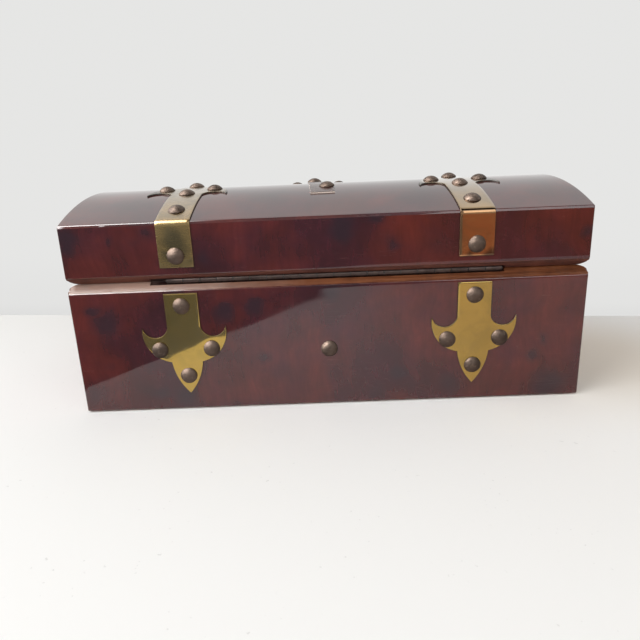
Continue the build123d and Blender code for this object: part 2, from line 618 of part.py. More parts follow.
def make_lock(parts):
    """The lock case, its selvedge, the sliding bolt and the link plate on the lid."""
    case = block(-LOCK_HALF_LENGTH, LOCK_HALF_LENGTH, case_front, -INNER_Y, case_low, case_top)
    room = block(
        -LOCK_HALF_LENGTH + LOCK_CASE_WALL, LOCK_HALF_LENGTH - LOCK_CASE_WALL,
        case_front + LOCK_CASE_WALL, -INNER_Y - LOCK_CASE_WALL, case_low + LOCK_CASE_WALL, case_top,
    )
    case -= room
    ledge_top = bolt_low - LOCK_GAP
    bar_end = LOCK_HALF_LENGTH - LOCK_CASE_WALL - LOCK_GAP - BOLT_TRAVEL
    for side in (-1, 1):
        middle = side * LINK_PLACE
        case += block(
            middle - BOLT_FINGER, middle + BOLT_FINGER, case_front, -INNER_Y, ledge_top - BOLT_LEDGE, ledge_top
        )
    parts["lock_case"] = case - keyhole(case_front, -INNER_Y - LOCK_CASE_WALL)

    bolt_y = lock_y - BOLT_THICKNESS / 2
    hook_top = hook_low + BOLT_HOOK_HEIGHT
    bar_start = -LINK_PLACE - LINK_THICKNESS / 2 - BOLT_START_GAP - BOLT_HOOK_LENGTH - BOLT_FINGER
    bolt = block(bar_start, bar_end, bolt_y, bolt_y + BOLT_THICKNESS, bolt_low, bolt_top)
    for link in (-LINK_PLACE, LINK_PLACE):
        tip = link - LINK_THICKNESS / 2 - BOLT_START_GAP
        root = tip - BOLT_HOOK_LENGTH
        bolt += block(root - BOLT_FINGER, root, bolt_y, bolt_y + BOLT_THICKNESS, bolt_low, hook_top)
        bolt += block(root - BOLT_FINGER, tip, bolt_y, bolt_y + BOLT_THICKNESS, hook_low, hook_top)
    talon = BOLT_FINGER / 2
    parts["lock_bolt"] = bolt - block(
        -talon, talon, bolt_y, bolt_y + BOLT_THICKNESS, bolt_low, bolt_low + BOLT_BAR_HEIGHT / 2
    )

    selvedge = block(-selvedge_end, selvedge_end, case_front, -INNER_Y, case_top, BASE_RIM)
    link_half = LINK_THICKNESS / 2
    link_side = LINK_DEPTH / 2
    for link in (-LINK_PLACE, LINK_PLACE):
        selvedge -= block(
            link - link_half - LINK_CLEARANCE, link + link_half + LINK_CLEARANCE,
            lock_y - link_side - LINK_CLEARANCE, lock_y + link_side + LINK_CLEARANCE, case_top, BASE_RIM,
        )
    parts["lock_selvedge"] = selvedge - at_each(lock_screw_places, screw_hole)
    parts["lock_screws"] = Compound(at_each(lock_screw_places, screw))

    plate_side = LINK_PLATE_WIDTH / 2
    plate = block(
        -LINK_PLATE_HALF_LENGTH, LINK_PLATE_HALF_LENGTH,
        lock_y - plate_side, lock_y + plate_side, LID_RIM, LID_RIM + LINK_PLATE,
    )
    window = LINK_WINDOW_DEPTH / 2
    for link in (-LINK_PLACE, LINK_PLACE):
        x_low = link - link_half
        x_high = link + link_half
        plate += block(x_low, x_high, lock_y - link_side, lock_y + link_side, link_low, LID_RIM)
        plate -= block(
            x_low, x_high, lock_y - window, lock_y + window, window_low, window_low + LINK_WINDOW_HEIGHT
        )
    parts["lid_link_plate"] = plate - at_each(link_screw_places, screw_hole)
    parts["lid_link_screws"] = Compound(at_each(link_screw_places, screw))


def main():
    """Make every piece and write one file for each."""
    parts = {}
    make_base(parts)
    make_linings(parts)
    make_lid(parts)
    make_hinge(parts)
    make_base_mounts(parts)
    make_lid_straps(parts)
    make_lock(parts)
    for name, shape in parts.items():
        export_step(shape, f"parts/{name}.step")
    print(len(parts), "pieces")


main()
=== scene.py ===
from math import asin, atan2, cos, hypot, pi, radians, sin, sqrt

import bmesh
import bpy
import numpy as np
from mathutils import Matrix, Vector


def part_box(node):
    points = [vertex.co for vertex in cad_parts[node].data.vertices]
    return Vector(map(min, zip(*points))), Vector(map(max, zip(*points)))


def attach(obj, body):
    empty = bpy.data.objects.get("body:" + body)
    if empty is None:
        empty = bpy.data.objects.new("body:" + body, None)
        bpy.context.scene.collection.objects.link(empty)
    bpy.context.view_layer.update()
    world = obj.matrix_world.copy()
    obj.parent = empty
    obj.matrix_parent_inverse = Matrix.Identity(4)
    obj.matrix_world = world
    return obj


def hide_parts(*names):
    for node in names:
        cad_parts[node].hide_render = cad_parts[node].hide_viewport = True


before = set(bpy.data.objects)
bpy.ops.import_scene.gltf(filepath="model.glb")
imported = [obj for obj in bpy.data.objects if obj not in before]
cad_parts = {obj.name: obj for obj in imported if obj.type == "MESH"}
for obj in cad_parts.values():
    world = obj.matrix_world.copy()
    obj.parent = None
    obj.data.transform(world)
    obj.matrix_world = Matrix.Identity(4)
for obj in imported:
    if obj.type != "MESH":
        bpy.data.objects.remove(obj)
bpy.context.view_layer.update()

bl_info = {
    "name": "Arched lacquered box",
    "version": (1, 0, 0),
    "blender": (4, 5, 0),
    "location": "View3D > Sidebar > Box",
    "description": "Dresses a brass-bound, lacquered box with an arched lid",
    "category": "Object",
}

MM = 0.001

# Sizes read from the frame
TOP_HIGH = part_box("lid_top_veneer")[1]
HALF_LENGTH = TOP_HIGH.x
HALF_DEPTH = TOP_HIGH.y
CROWN = TOP_HIGH.z
BASE_LOW, BASE_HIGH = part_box("base_back_veneer")
LID_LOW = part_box("lid_back_veneer")[0]
LEG_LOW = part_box("lid_strap_back_left")[0].z
MOUNT_LOW, MOUNT_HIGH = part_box("base_mount_back_left")
STRAP_PLACE = -(MOUNT_LOW.x + MOUNT_HIGH.x) / 2
STRAP_THICK = MOUNT_HIGH.y - HALF_DEPTH
VENEER = BASE_HIGH.y - BASE_LOW.y
BASE_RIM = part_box("base_back_board")[1].z
LID_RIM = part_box("lid_back_board")[0].z
PIN_LOW, PIN_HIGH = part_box("hinge_pin")
HINGE_X, HINGE_Y, HINGE_Z = (PIN_LOW + PIN_HIGH) / 2

# The box's sides: the sign of their coordinate, and their name
LONG_SIDES = ((-1, "front"), (1, "back"))
ENDS = ((-1, "left"), (1, "right"))

# Sizes of the box that the frame's boxes don't give directly
LID_SIDE_TOP = 90.3 * MM
BASE_FACE_TOP = 59.5 * MM
LID_FACE_LOW = 66.5 * MM
ARCH_RISE = CROWN - LID_SIDE_TOP
ARCH_RADIUS = (HALF_DEPTH**2 + ARCH_RISE**2) / (2 * ARCH_RISE)
ARCH_CENTRE = CROWN - ARCH_RADIUS
LID_TOP_WALL = 8.0 * MM
LID_PAD = 3.5 * MM
END_REACH = 5.0 * MM
BASE_END_DROP = 1.6 * MM
LID_END_DROP = 2.6 * MM
ROUND_SHARE = 0.92
CARCASS_X = HALF_LENGTH - VENEER
CARCASS_Y = HALF_DEPTH - VENEER
CHANNEL_RADIUS = 1.75 * MM
CHANNEL_FADE = 18.0 * MM
HINGE_CHANNEL = (PIN_LOW.x - 1.0 * MM, PIN_HIGH.x + 7.5 * MM)

# Quilting of the silk pads
QUILT_CELL = 2.6 * MM
QUILT_PITCH = 26.0 * MM
QUILT_PUSH = 2.0 * MM
SWELL_STEPS = 20

# Brass straps, in the same layout as the construction
STRAP_WIDTH = 15.6 * MM
MOUNT_ROOT = 27.0 * MM
MOUNT_TIP = 22.3 * MM
MOUNT_ARM = MOUNT_HIGH.z - MOUNT_ROOT
LID_TIP = 20.5 * MM
LID_ARM = 21.0 * MM
FRONT_ARM = 41.5 * MM
HORN = (19.6 * MM, -10.8 * MM)
HOLLOW = (13.3 * MM, -6.0 * MM)
SHOULDER = (STRAP_WIDTH / 2, -10.5 * MM)
BELLY = (17.6 * MM, -0.6 * MM)
NOTCH = (7.4 * MM, 6.3 * MM)
TIP_BULGE = 1.6 * MM
FILED_EDGE = 0.22 * MM
RIVET_DIMPLE = 4.8 * MM
RIVET_SEAT = STRAP_THICK - 0.1 * MM
ARM_RIVET = 12.3 * MM
TIP_RIVET = 13.2 * MM
TOP_RIVET = -(MOUNT_ROOT - 6.0 * MM)
LEG_RIVET_RISE = 5.3 * MM
FOLD_RIVET = 9.5 * MM
STRAP_RIVET = 9.5 * MM
STUD_HEIGHT = 28.5 * MM
CENTRE_X = 2.4 * MM
CENTRE_ARM = -23.0 * MM
CENTRE_SKEW = radians(2.0)
TAIL_END = 60.0 * MM
TAIL_WIDTH = 12.0 * MM
TAIL_RIVET = (-2.7 * MM, 48.0 * MM)
CENTRE_TIP_RIVET = (2.5 * MM, 17.2 * MM)
KNUCKLE = 7.75 * MM
KEYHOLE_Z = 50.0 * MM
KEYHOLE_RADIUS = 1.7 * MM
KEYHOLE_SLOT = 0.8 * MM
KEYHOLE_DROP = 5.0 * MM

# Soft dark clouds: x, z, reach in mm, and depth. A cloud is solid where its depth passes 0.7
BASE_CLOUDS = [
    (104, 44, 11, 0.9), (109, 51, 6, 0.8), (49, 49, 8, 0.9), (33, 50, 7, 0.9), (84, 10, 6, 0.8),
    (70, 7, 9, 0.9), (88, 24, 5, 0.4), (30, 25, 5, 0.6), (114, 10, 8, 0.5), (0, 55, 6, 0.8),
    (-33, 14, 5, 0.7), (-22, 5, 8, 0.6), (-96, 21, 5, 0.7), (-100, 29, 4, 0.5), (-105, 7, 11, 0.8),
    (-58, 8, 8, 0.6),
]
LID_CLOUDS = [
    (115, 83, 8, 0.9), (80, 86, 7, 0.6), (56, 73, 6, 0.6), (-7, 85, 9, 1.0), (-23, 88, 5, 0.8),
    (-29, 77, 7, 0.5), (-119, 78, 5, 0.7), (97, 84, 4, 0.5),
    (-48, 76, 13, 0.35), (-64, 86, 12, 0.35), (-104, 74, 12, 0.3),
]
# A painted dark reflection low on the leg of a strap at -X:
LEFT_LEG_DARK_REFLECTION = [(-74, 69, 5.5, 1.0), (-63, 71, 2.5, 0.6)]
# A stain on the leg of a strap at +X:
RIGHT_LEG_STAIN = [(67, 82, 7.5, 1.0), (72, 75, 4.0, 0.8), (63, 73, 3.0, 0.5)]
# Painted shadows on the horns of the lid straps:
HORN_SHADOWS = [(86, 101.5, 6.5, 1.3), (47, 101.5, 6.0, 1.3), (-86, 101.5, 6.0, 1.3), (-47, 101.5, 6.5, 1.3)]

# Veneer figure: its scale, how far slow noise bends it and the edges of the clouds, and the part
# of it that the lid shows
CLOUD_SCALE = 24.0
FIGURE_BEND = 0.018
CLOUD_BEND = 0.011
LID_FIGURE = (1.73, 0.64, 0.42)

# Colours of wear and dirt, and of painted shade, shadow and sheen
WORN_WOOD = (0.22, 0.10, 0.065)
SCRATCHED_LACQUER = (0.30, 0.17, 0.14)
OLD_STAIN = (0.035, 0.022, 0.018)
# Painted sheen, paler wood towards +X:
PAINTED_SHEEN_WOOD = (0.36, 0.255, 0.215)
# Painted shade in the hinge channel:
CHANNEL_SHADE = (0.024, 0.010, 0.009)
# Dirt with painted shadow on the plates' edges:
EDGE_DIRT_AND_SHADOW = (0.030, 0.018, 0.010)
BROWN_SPOTS = (0.10, 0.065, 0.03)
# Dirt and painted shade along the straps' fold:
FOLD_DIRT_AND_SHADE = (0.10, 0.055, 0.022)
# Painted shadow on the horns:
HORN_SHADOW_COLOUR = (0.030, 0.024, 0.020)
BROWNED_BRASS = (0.060, 0.026, 0.022)
RUBBED_BRONZE = (0.22, 0.165, 0.13)
METAL_DIRT = (0.10, 0.06, 0.035)
KNUCKLE_DIRT = (0.010, 0.007, 0.005)

# Camera, fitted to the photograph: its frame is 640 by 640
FRAME_PIXELS = 640.0
FOCAL_PIXELS = 500.0
SENSOR = 36.0
CAMERA_BACK = 226.3 * MM
CAMERA_SIDE = 2.07 * MM
CAMERA_HEIGHT = 103.56 * MM
CAMERA_YAW = -0.00836
CAMERA_PITCH = 0.2630
CAMERA_ROLL = -0.0414

# Stage: the wall behind, how bright the room and its window are in reflections, the pale part of
# the floor as reflections see it, and the colours round the box, with a painted warm shadow on
# the floor beside it. The floor has MIRRORED colours in reflections
WALL_LINE = ((0.300, -0.1585), (-0.2334, -0.0718))
ROOM_GLOSS = 1.95
WINDOW_GLOSS = 32.0
WINDOW_TILT = radians(10.0)
PALE_FLOOR = [
    (0.180, 0.022), (-0.032, 0.361), (-0.075, 0.430), (-0.36, 0.50), (-0.45, 0.0), (-0.36, -0.30),
    (0.10, -0.38), (0.30, -0.18),
]
STAGE_REACH = 3.0
ROOM_REACH = 2.5
ROOM_LIFT = 0.4 * MM
GREY_ROOM = (0.19, 0.195, 0.20)
WARM_ROOM = (0.40, 0.20, 0.13)
# A painted warm shadow on the floor beside the box: its middle, then its colour.
WARM_SHADOW_SPOT = (-0.150, 0.010, 0.0)
WARM_SHADOW_FLOOR = (0.80, 0.735, 0.645)
MIRRORED_NEAR = (0.97, 0.95, 0.95)
MIRRORED_FAR = (0.73, 0.64, 0.60)
DIM_CEILING = (0.10, 0.09, 0.085)
EVEN_LIGHT = (1.0, 0.955, 0.91)
LAMP_AIM = (0.0, 0.0, 0.05)
LAMP_SIZE = 0.5
LAMP_COLOUR = (0.97, 0.99, 1.0)


def colour_setting(name, description, default):
    """A colour property."""
    return bpy.props.FloatVectorProperty(
        name=name, description=description, default=default, size=3, subtype="COLOR", min=0.0, max=1.0
    )


def length_setting(name, description, default, least, most):
    """A length property, whose values are given in millimetres."""
    return bpy.props.FloatProperty(
        name=name, description=description, default=default * MM, min=least * MM, max=most * MM, unit="LENGTH"
    )


class BoxFinish(bpy.types.PropertyGroup):
    """Colours and finish of the lacquered wood and its lining."""

    purple_wood: colour_setting(
        "Purple figure", "Colour of the cool, dark patches in the veneer", (0.037, 0.0068, 0.0112)
    )
    red_wood: colour_setting(
        "Red ground", "Colour of the warm, red patches in the veneer", (0.071, 0.0104, 0.0088)
    )
    spot_wood: colour_setting(
        "Spots", "Colour of the small soft spots in the veneer", (0.020, 0.0090, 0.0150)
    )
    silk: colour_setting("Silk", "Colour of the padded silk inside", (0.30, 0.045, 0.055))
    edge_round: length_setting("Edge rounding", "Radius of the worn arrises of the veneer", 0.7, 0.1, 0.8)
    corner_round: length_setting("Corner rounding", "Radius of the box's upright corners", 1.2, 0.3, 1.2)
    ripple: length_setting("Ripple", "Height of the slow waves in the old lacquered surface", 0.035, 0.0, 0.2)


class BoxBrass(bpy.types.PropertyGroup):
    """Sizes and colours of the brass straps and the rivets."""

    brass: colour_setting("Brass", "Colour of clean brass", (0.45, 0.30, 0.06))
    bronze: colour_setting("Bronze", "Colour of the rivet heads", (0.105, 0.074, 0.058))
    rivet_radius: length_setting("Rivet radius", "Radius of a dome head", 3.9, 1.0, 6.0)
    rivet_height: length_setting("Rivet height", "Height of a dome head", 2.3, 0.5, 4.0)
    sheet_ripple: length_setting("Sheet ripple", "Unevenness of the hand-fitted brass sheet", 0.05, 0.0, 0.2)


class BoxStage(bpy.types.PropertyGroup):
    """Floor, backdrop and light."""

    floor_colour: colour_setting("Floor", "Colour of the floor", (0.875, 0.88, 0.875))
    wall_colour: colour_setting("Wall", "Colour of the backdrop as the camera sees it", (0.79, 0.79, 0.78))
    key_power: bpy.props.FloatProperty(
        name="Key light", description="Power of the soft light at the upper left",
        default=4.4, min=0.0, max=40.0, subtype="POWER",
    )
    room_light: bpy.props.FloatProperty(
        name="Room light", description="Strength of the even light all round",
        default=0.64, min=0.0, max=2.0,
    )


# Meshes
def linked(name, data):
    """A new object in the scene."""
    piece = bpy.data.objects.new(name, data)
    bpy.context.collection.objects.link(piece)
    return piece


def new_piece(name, points, quads, extra_faces=(), rim=None):
    """A closed mesh from an array of points and index quads, with doubles merged, outward
    normals and smooth shading between sharp edges. rim is kept as a point attribute."""
    mesh = bpy.data.meshes.new(name)
    faces = quads.tolist() + [list(face) for face in extra_faces]
    mesh.from_pydata(points.reshape(-1, 3).tolist(), [], faces)
    if rim is not None:
        mesh.attributes.new("rim", "FLOAT", "POINT").data.foreach_set("value", rim.ravel())
    shape = bmesh.new()
    shape.from_mesh(mesh)
    bmesh.ops.remove_doubles(shape, verts=shape.verts, dist=1e-7)
    bmesh.ops.dissolve_degenerate(shape, edges=shape.edges, dist=1e-8)
    bmesh.ops.recalc_face_normals(shape, faces=shape.faces)
    shape.to_mesh(mesh)
    shape.free()
    mesh.polygons.foreach_set("use_smooth", np.ones(len(mesh.polygons), dtype=bool))
    mesh.set_sharp_from_angle(angle=radians(38))
    mesh.update()
    return linked(name, mesh)


def bare_edges(piece, name):
    """A second material on the faces that join a slab's top to its underside: those whose
    corners differ in rim."""
    mesh = piece.data
    rim = np.empty(len(mesh.vertices))
    corner = np.empty(len(mesh.loops), dtype=np.int32)
    start = np.empty(len(mesh.polygons), dtype=np.int32)
    mesh.attributes["rim"].data.foreach_get("value", rim)
    mesh.loops.foreach_get("vertex_index", corner)
    mesh.polygons.foreach_get("loop_start", start)
    least = np.minimum.reduceat(rim[corner], start)
    most = np.maximum.reduceat(rim[corner], start)
    mesh.materials.append(bpy.data.materials[name])
    mesh.polygons.foreach_set("material_index", (most > least).astype(np.int32))


def grid_quads(rows, columns, wrap=False):
    """Index quads of a grid of points, with its columns joined end to end when wrap is true."""
    row = np.arange(rows - 1)
    column = np.arange(columns if wrap else columns - 1)
    i, j = np.meshgrid(row, column, indexing="ij")
    next_j = (j + 1) % columns
    corners = (i * columns + j, (i + 1) * columns + j, (i + 1) * columns + next_j, i * columns + next_j)
    return np.stack(corners, axis=-1).reshape(-1, 4)


def slab(name, top, bottom):
    """A closed slab between two grids of points with the same rows and columns. rim goes from
    0 on top to 1 underneath."""
    rows, columns = top.shape[:2]
    count = rows * columns
    index = np.arange(count).reshape(rows, columns)
    ring = np.concatenate([index[0, :-1], index[:-1, -1], index[-1, :0:-1], index[:0:-1, 0]])
    after = np.roll(ring, -1)
    sides = np.stack([ring, after, after + count, ring + count], axis=-1)
    quads = grid_quads(rows, columns)
    points = np.concatenate([top.reshape(-1, 3), bottom.reshape(-1, 3)])
    rim = np.repeat([0.0, 1.0], count)
    return new_piece(name, points, np.concatenate([quads, quads[:, ::-1] + count, sides]), rim=rim)


def edge_steps(low, high, reaches, cells):
    """Positions from low to high with close steps inside both rounded edges: reach times
    one minus the cosine of even angles, then an even run between."""
    near, far = (reach * (1.0 - np.cos(np.linspace(0.0, pi / 2, 7))) for reach in reaches)
    middle = np.linspace(low + near[-1], high - far[-1], cells + 1)[1:-1]
    steps = np.concatenate([low + near, middle, (high - far)[::-1]])
    return np.unique(np.round(steps, 9))


def ripple(u, v, seed, size):
    """Slow surface waves: a sum of five sines of random direction and phase, 20 to 90 mm long."""
    draw = np.random.default_rng(seed)
    height = np.zeros(np.broadcast(u, v).shape)
    for _ in range(5):
        heading = draw.uniform(0, pi)
        length = draw.uniform(20, 90) * MM
        phase = draw.uniform(0, 2 * pi)
        along = u * np.cos(heading) + v * np.sin(heading)
        height += np.sin(2 * pi * along / length + phase)
    return size * height / 5


def chips(u, seed, count, low, high):
    """Wear along an edge: random dips, each a Gaussian 1 to 3 mm long and up to 0.08 mm deep."""
    draw = np.random.default_rng(seed)
    depth = np.zeros_like(u)
    for _ in range(count):
        centre = draw.uniform(low, high)
        spread = draw.uniform(0.5, 1.5) * MM
        depth += draw.uniform(0.01, 0.08) * MM * np.exp(-(((u - centre) / spread) ** 2))
    return depth


def veneer_panel(name, place, u_range, v_range, under_u, under_v, reaches, cells, seed):
    """A sheet of veneer: height is the thickness less the drop at each worn edge, the drop
    being depth * (1 - sqrt(1 - share^2)), where share is how far a point is into the edge's
    reach. place turns (u, v, height) into a point. reaches are those of the edges
    (u low, u high, v low, v high), 0 for a sharp one. An edge turns by asin(ROUND_SHARE). The
    underside may have its own ranges."""
    u = edge_steps(*u_range, reaches[:2], cells[0])
    v = edge_steps(*v_range, reaches[2:], cells[1])
    grid_u, grid_v = np.meshgrid(u, v, indexing="ij")
    gaps = (grid_u - u_range[0], u_range[1] - grid_u, grid_v - v_range[0], v_range[1] - grid_v)
    runs = (grid_v, grid_v, grid_u, grid_u)
    ends = (v_range, v_range, u_range, u_range)
    drop = np.zeros_like(grid_u)
    for side, (gap, run, end, reach) in enumerate(zip(gaps, runs, ends, reaches)):
        if reach:
            worn = chips(run, seed * 10 + side, int((end[1] - end[0]) / (16 * MM)), *end)
            share = ROUND_SHARE * np.clip((reach + worn - gap) / reach, 0.0, 1.0)
            drop += min(reach, VENEER) * (1.0 - np.sqrt(1.0 - share**2))
    ripple_size = bpy.context.scene.box_finish.ripple
    calm = np.minimum.reduce(gaps) / (4 * MM)
    waves = ripple(grid_u, grid_v, seed, ripple_size) - ripple_size
    height = VENEER - np.minimum(drop, 0.97 * VENEER) + waves * np.clip(calm, 0, 1)
    share_u = (grid_u - u_range[0]) / (u_range[1] - u_range[0])
    share_v = (grid_v - v_range[0]) / (v_range[1] - v_range[0])
    low_u = under_u[0] + share_u * (under_u[1] - under_u[0])
    low_v = under_v[0] + share_v * (under_v[1] - under_v[0])
    top = np.stack(place(grid_u, grid_v, height), axis=-1)
    bottom = np.stack(place(low_u, low_v, np.zeros_like(height)), axis=-1)
    return slab(name, top, bottom)


# Places: each turns flat coordinates and a height into points on the box
def end_fall(x, drop):
    """How far a rim has fallen at x. Its last 5 mm are a circle that starts level and has
    fallen by drop at the end: radius - sqrt(radius^2 - run^2)."""
    run = np.clip(np.abs(x) - (HALF_LENGTH - END_REACH), 0.0, END_REACH)
    radius = (END_REACH**2 + drop**2) / (2 * drop)
    return radius - np.sqrt(radius**2 - run**2)


def base_top(x, y):
    """Height of the base's rim: level, fallen at the ends and chamfered along the long edges."""
    return np.minimum(BASE_RIM - end_fall(x, BASE_END_DROP), BASE_FACE_TOP + HALF_DEPTH - np.abs(y))


def lid_low(x, y):
    """Height of the lid's rim, shaped like the base's from below."""
    return np.maximum(LID_RIM + end_fall(x, LID_END_DROP), LID_FACE_LOW - HALF_DEPTH + np.abs(y))


def arch_under(x, y):
    """Height of the arch under its veneer at y."""
    return ARCH_CENTRE + np.sqrt((ARCH_RADIUS - VENEER) ** 2 - y**2) + 0 * x


def on_long_face(side, lid=False):
    """Front (-1) or back (1) face: x and z stay, height stands out from the carcass along Y.
    On the lid nothing goes below its rounded-over ends."""

    def place(u, v, h):
        z = np.maximum(v, LID_RIM + end_fall(u, LID_END_DROP)) if lid else v
        return u, side * (CARCASS_Y + h), z

    return place


def on_end_face(side, span, floor, roof):
    """Left (-1) or right (1) end: u runs along Y, and v, which runs over the span, is stretched
    between the heights that floor and roof give at (x, y)."""

    def place(u, v, h):
        x = CARCASS_X + h
        low = floor(x, u)
        share = (v - span[0]) / (span[1] - span[0])
        return side * x, u, low + share * (roof(x, u) - low)

    return place


def on_arch_sheet(u, v, h):
    """The arched top: v is the angle from the crown, and height is radial. Beyond the carcass
    both ways, a point is drawn in to the circle that rounds the box's upright corner."""
    radius = ARCH_RADIUS - VENEER + h
    y = radius * np.sin(v)
    past_x = np.maximum(np.abs(u) - CARCASS_X, 0.0)
    past_y = np.maximum(np.abs(y) - CARCASS_Y, 0.0)
    both = (past_x > 0) & (past_y > 0)
    pull = np.where(both, np.minimum(1.0, VENEER / np.maximum(np.hypot(past_x, past_y), 1e-9)), 1.0)
    x = np.sign(u) * (np.abs(u) - past_x * (1 - pull))
    y = np.sign(y) * (np.abs(y) - past_y * (1 - pull))
    return x, y, ARCH_CENTRE + radius * np.cos(v)


def strap_path(run):
    """Points and normals along a lid strap's underside. Run is 0 at the fold: below it the leg
    goes straight down the side, above it the point is run inwards on the arch. Within 1 mm
    of the fold a quadratic curve joins the two."""
    bend = 1.0 * MM
    leg = np.stack([np.full_like(run, HALF_DEPTH), LID_SIDE_TOP + run], axis=-1)
    y = HALF_DEPTH - run
    arch = np.stack([y, ARCH_CENTRE + np.sqrt(np.maximum(ARCH_RADIUS**2 - y**2, 0))], axis=-1)
    arch_normal = np.stack([y, arch[..., 1] - ARCH_CENTRE], axis=-1) / ARCH_RADIUS
    leg_normal = np.zeros_like(arch_normal)
    leg_normal[..., 0] = 1.0
    edge_y = HALF_DEPTH - bend
    start = np.array([HALF_DEPTH, LID_SIDE_TOP - bend])
    end = np.array([edge_y, ARCH_CENTRE + sqrt(ARCH_RADIUS**2 - edge_y**2)])
    corner = np.array([HALF_DEPTH, LID_SIDE_TOP])
    t = np.clip((run + bend) / (2 * bend), 0, 1)[..., None]
    curve = (1 - t) ** 2 * start + 2 * t * (1 - t) * corner + t**2 * end
    turn = (1 - t) * leg_normal + t * arch_normal
    turn /= np.linalg.norm(turn, axis=-1, keepdims=True)
    on_leg = (run < -bend)[..., None]
    on_arch = (run > bend)[..., None]
    point = np.where(on_leg, leg, np.where(on_arch, arch, curve))
    normal = np.where(on_leg, leg_normal, np.where(on_arch, arch_normal, turn))
    return point, normal


def on_mount(x, side):
    """A base mount: s runs down the face from the line of the arm rivets."""
    return lambda u, s, h: (x + u, side * (HALF_DEPTH + h), MOUNT_ARM - s)


def on_lid_strap(x, side, arm):
    """A lid strap at the front (-1) or back (1): s runs inwards from the arm rivets' line,
    which lies arm from the ridge."""

    def place(u, s, h):
        point, normal = strap_path(HALF_DEPTH - arm + s)
        return x + u, side * (point[..., 0] + normal[..., 0] * h), point[..., 1] + normal[..., 1] * h

    return place


def on_centre_strap(u, s, h):
    """The centre strap: it comes up from the front, turned by its skew about the arms' line."""
    x = CENTRE_X + u * cos(CENTRE_SKEW) - s * sin(CENTRE_SKEW)
    y = CENTRE_ARM + u * sin(CENTRE_SKEW) + s * cos(CENTRE_SKEW)
    point, normal = strap_path(HALF_DEPTH + y)
    return x, -(point[..., 0] + normal[..., 0] * h), point[..., 1] + normal[..., 1] * h


# Brass plates
def arc_through(start, middle, end, count):
    """Evenly turned points on the circle through three points."""
    (ax, ay), (bx, by), (cx, cy) = start, middle, end
    across = 2 * (ax * (by - cy) + bx * (cy - ay) + cx * (ay - by))
    a2, b2, c2 = ax**2 + ay**2, bx**2 + by**2, cx**2 + cy**2
    ox = (a2 * (by - cy) + b2 * (cy - ay) + c2 * (ay - by)) / across
    oy = (a2 * (cx - bx) + b2 * (ax - cx) + c2 * (bx - ax)) / across
    first, mid, last = (atan2(y - oy, x - ox) for x, y in (start, middle, end))
    turn = (last - first) % (2 * pi)
    if (mid - first) % (2 * pi) > turn:
        turn -= 2 * pi
    angle = first + np.linspace(0, 1, count) * turn
    reach = hypot(ax - ox, ay - oy)
    return np.stack([ox + reach * np.cos(angle), oy + reach * np.sin(angle)], axis=-1)


def plate_side(root, tip, tail):
    """The right-hand outline of an anchor-ended strap as four runs of points: the straight
    edge from the root, the hollow up to the horn, the belly from the notch back to the horn,
    and the point (or the tail that goes on past it)."""
    half = STRAP_WIDTH / 2
    straight = np.linspace((half, -root), SHOULDER, int((root + SHOULDER[1]) / (0.7 * MM)))
    hollow = arc_through(SHOULDER, HOLLOW, HORN, 20)
    belly = arc_through(NOTCH, BELLY, HORN, 20)
    bulge = (NOTCH[0] / 2 + TIP_BULGE, (NOTCH[1] + tip) / 2)
    point = arc_through(NOTCH, bulge, (0.0, tip), 20)
    point[-1] = (0.0, tip)
    if tail:
        point = point[point[:, 0] > TAIL_WIDTH / 2]
        start = (TAIL_WIDTH / 2, point[-1, 1] + 0.6 * MM)
        point = np.concatenate([point, np.linspace(start, (TAIL_WIDTH / 2, tail), 60)])
    return straight, hollow, belly, point


def right_normals(run):
    """Unit normals to the right of a run of points, from the slope between neighbours."""
    slope = np.gradient(run, axis=0)
    slope /= np.maximum(np.linalg.norm(slope, axis=-1, keepdims=True), 1e-12)
    return np.stack([slope[:, 1], -slope[:, 0]], axis=-1)


def inset_plate(runs, step):
    """The four runs moved inwards by a step along their normals, or by 0.3 of the horn's width
    where that is less. Where two runs meet, both take the mean of their two points."""
    straight, hollow, belly, point = runs
    width = np.linalg.norm(hollow - belly, axis=1)
    narrow = np.minimum(step, 0.3 * width)[:, None]
    inner_straight = straight - step * right_normals(straight)
    inner_straight[0, 1] += step
    inner_hollow = hollow - narrow * right_normals(hollow)
    inner_belly = belly + narrow * right_normals(belly)
    inner_point = point - step * right_normals(point)
    horn = hollow[-1] + 0.6 * ((hollow[-2] + belly[-2]) / 2 - hollow[-1])
    inner_hollow[-1] = inner_belly[-1] = horn if step else hollow[-1]
    inner_straight[-1] = inner_hollow[0] = (inner_straight[-1] + inner_hollow[0]) / 2
    inner_point[0] = inner_belly[0] = (inner_point[0] + inner_belly[0]) / 2
    inner_point[:, 0] = np.maximum(inner_point[:, 0], 0.0)
    if point[-1, 0] == 0.0:
        inner_point[-1] = (0.0, point[-1, 1] - 1.6 * step)
    else:
        inner_point[-1, 1] -= step
    return inner_straight, inner_hollow, inner_belly, inner_point


def plate_patches(runs):
    """Three grids that fill the outline: the shaft, whose rows run straight across between its
    two edges, and the two horns, whose rows run straight from the hollow to the belly."""
    straight, hollow, belly, point = runs
    share = np.linspace(0, 1, 17)[:, None]
    waist = hollow[0] + share * (belly[0] - hollow[0])
    edge = np.concatenate([straight, waist[1:], point[1:]])
    across = np.linspace(-1, 1, 13)
    shaft = np.stack([edge[:, :1] * across, edge[:, 1:] * np.ones_like(across)], axis=-1)
    horn = hollow[:, None] + np.linspace(0, 1, 17)[:, None] * (belly - hollow)[:, None]
    return shaft, horn, horn * (-1.0, 1.0)


def plate_loop(runs):
    """The closed outline: across the root, up the right side, across the tail if it is
    square, and down the left side."""
    straight, hollow, belly, point = runs
    right = np.concatenate([straight, hollow[1:], belly[::-1][1:], point[1:]])
    left = (right * (-1.0, 1.0))[::-1]
    shaft = plate_patches(runs)[0]
    end = shaft[-1, ::-1] if point[-1, 0] > 0 else shaft[-1, :1]
    return np.concatenate([shaft[0], right[1:-1], end, left[1:-1]])


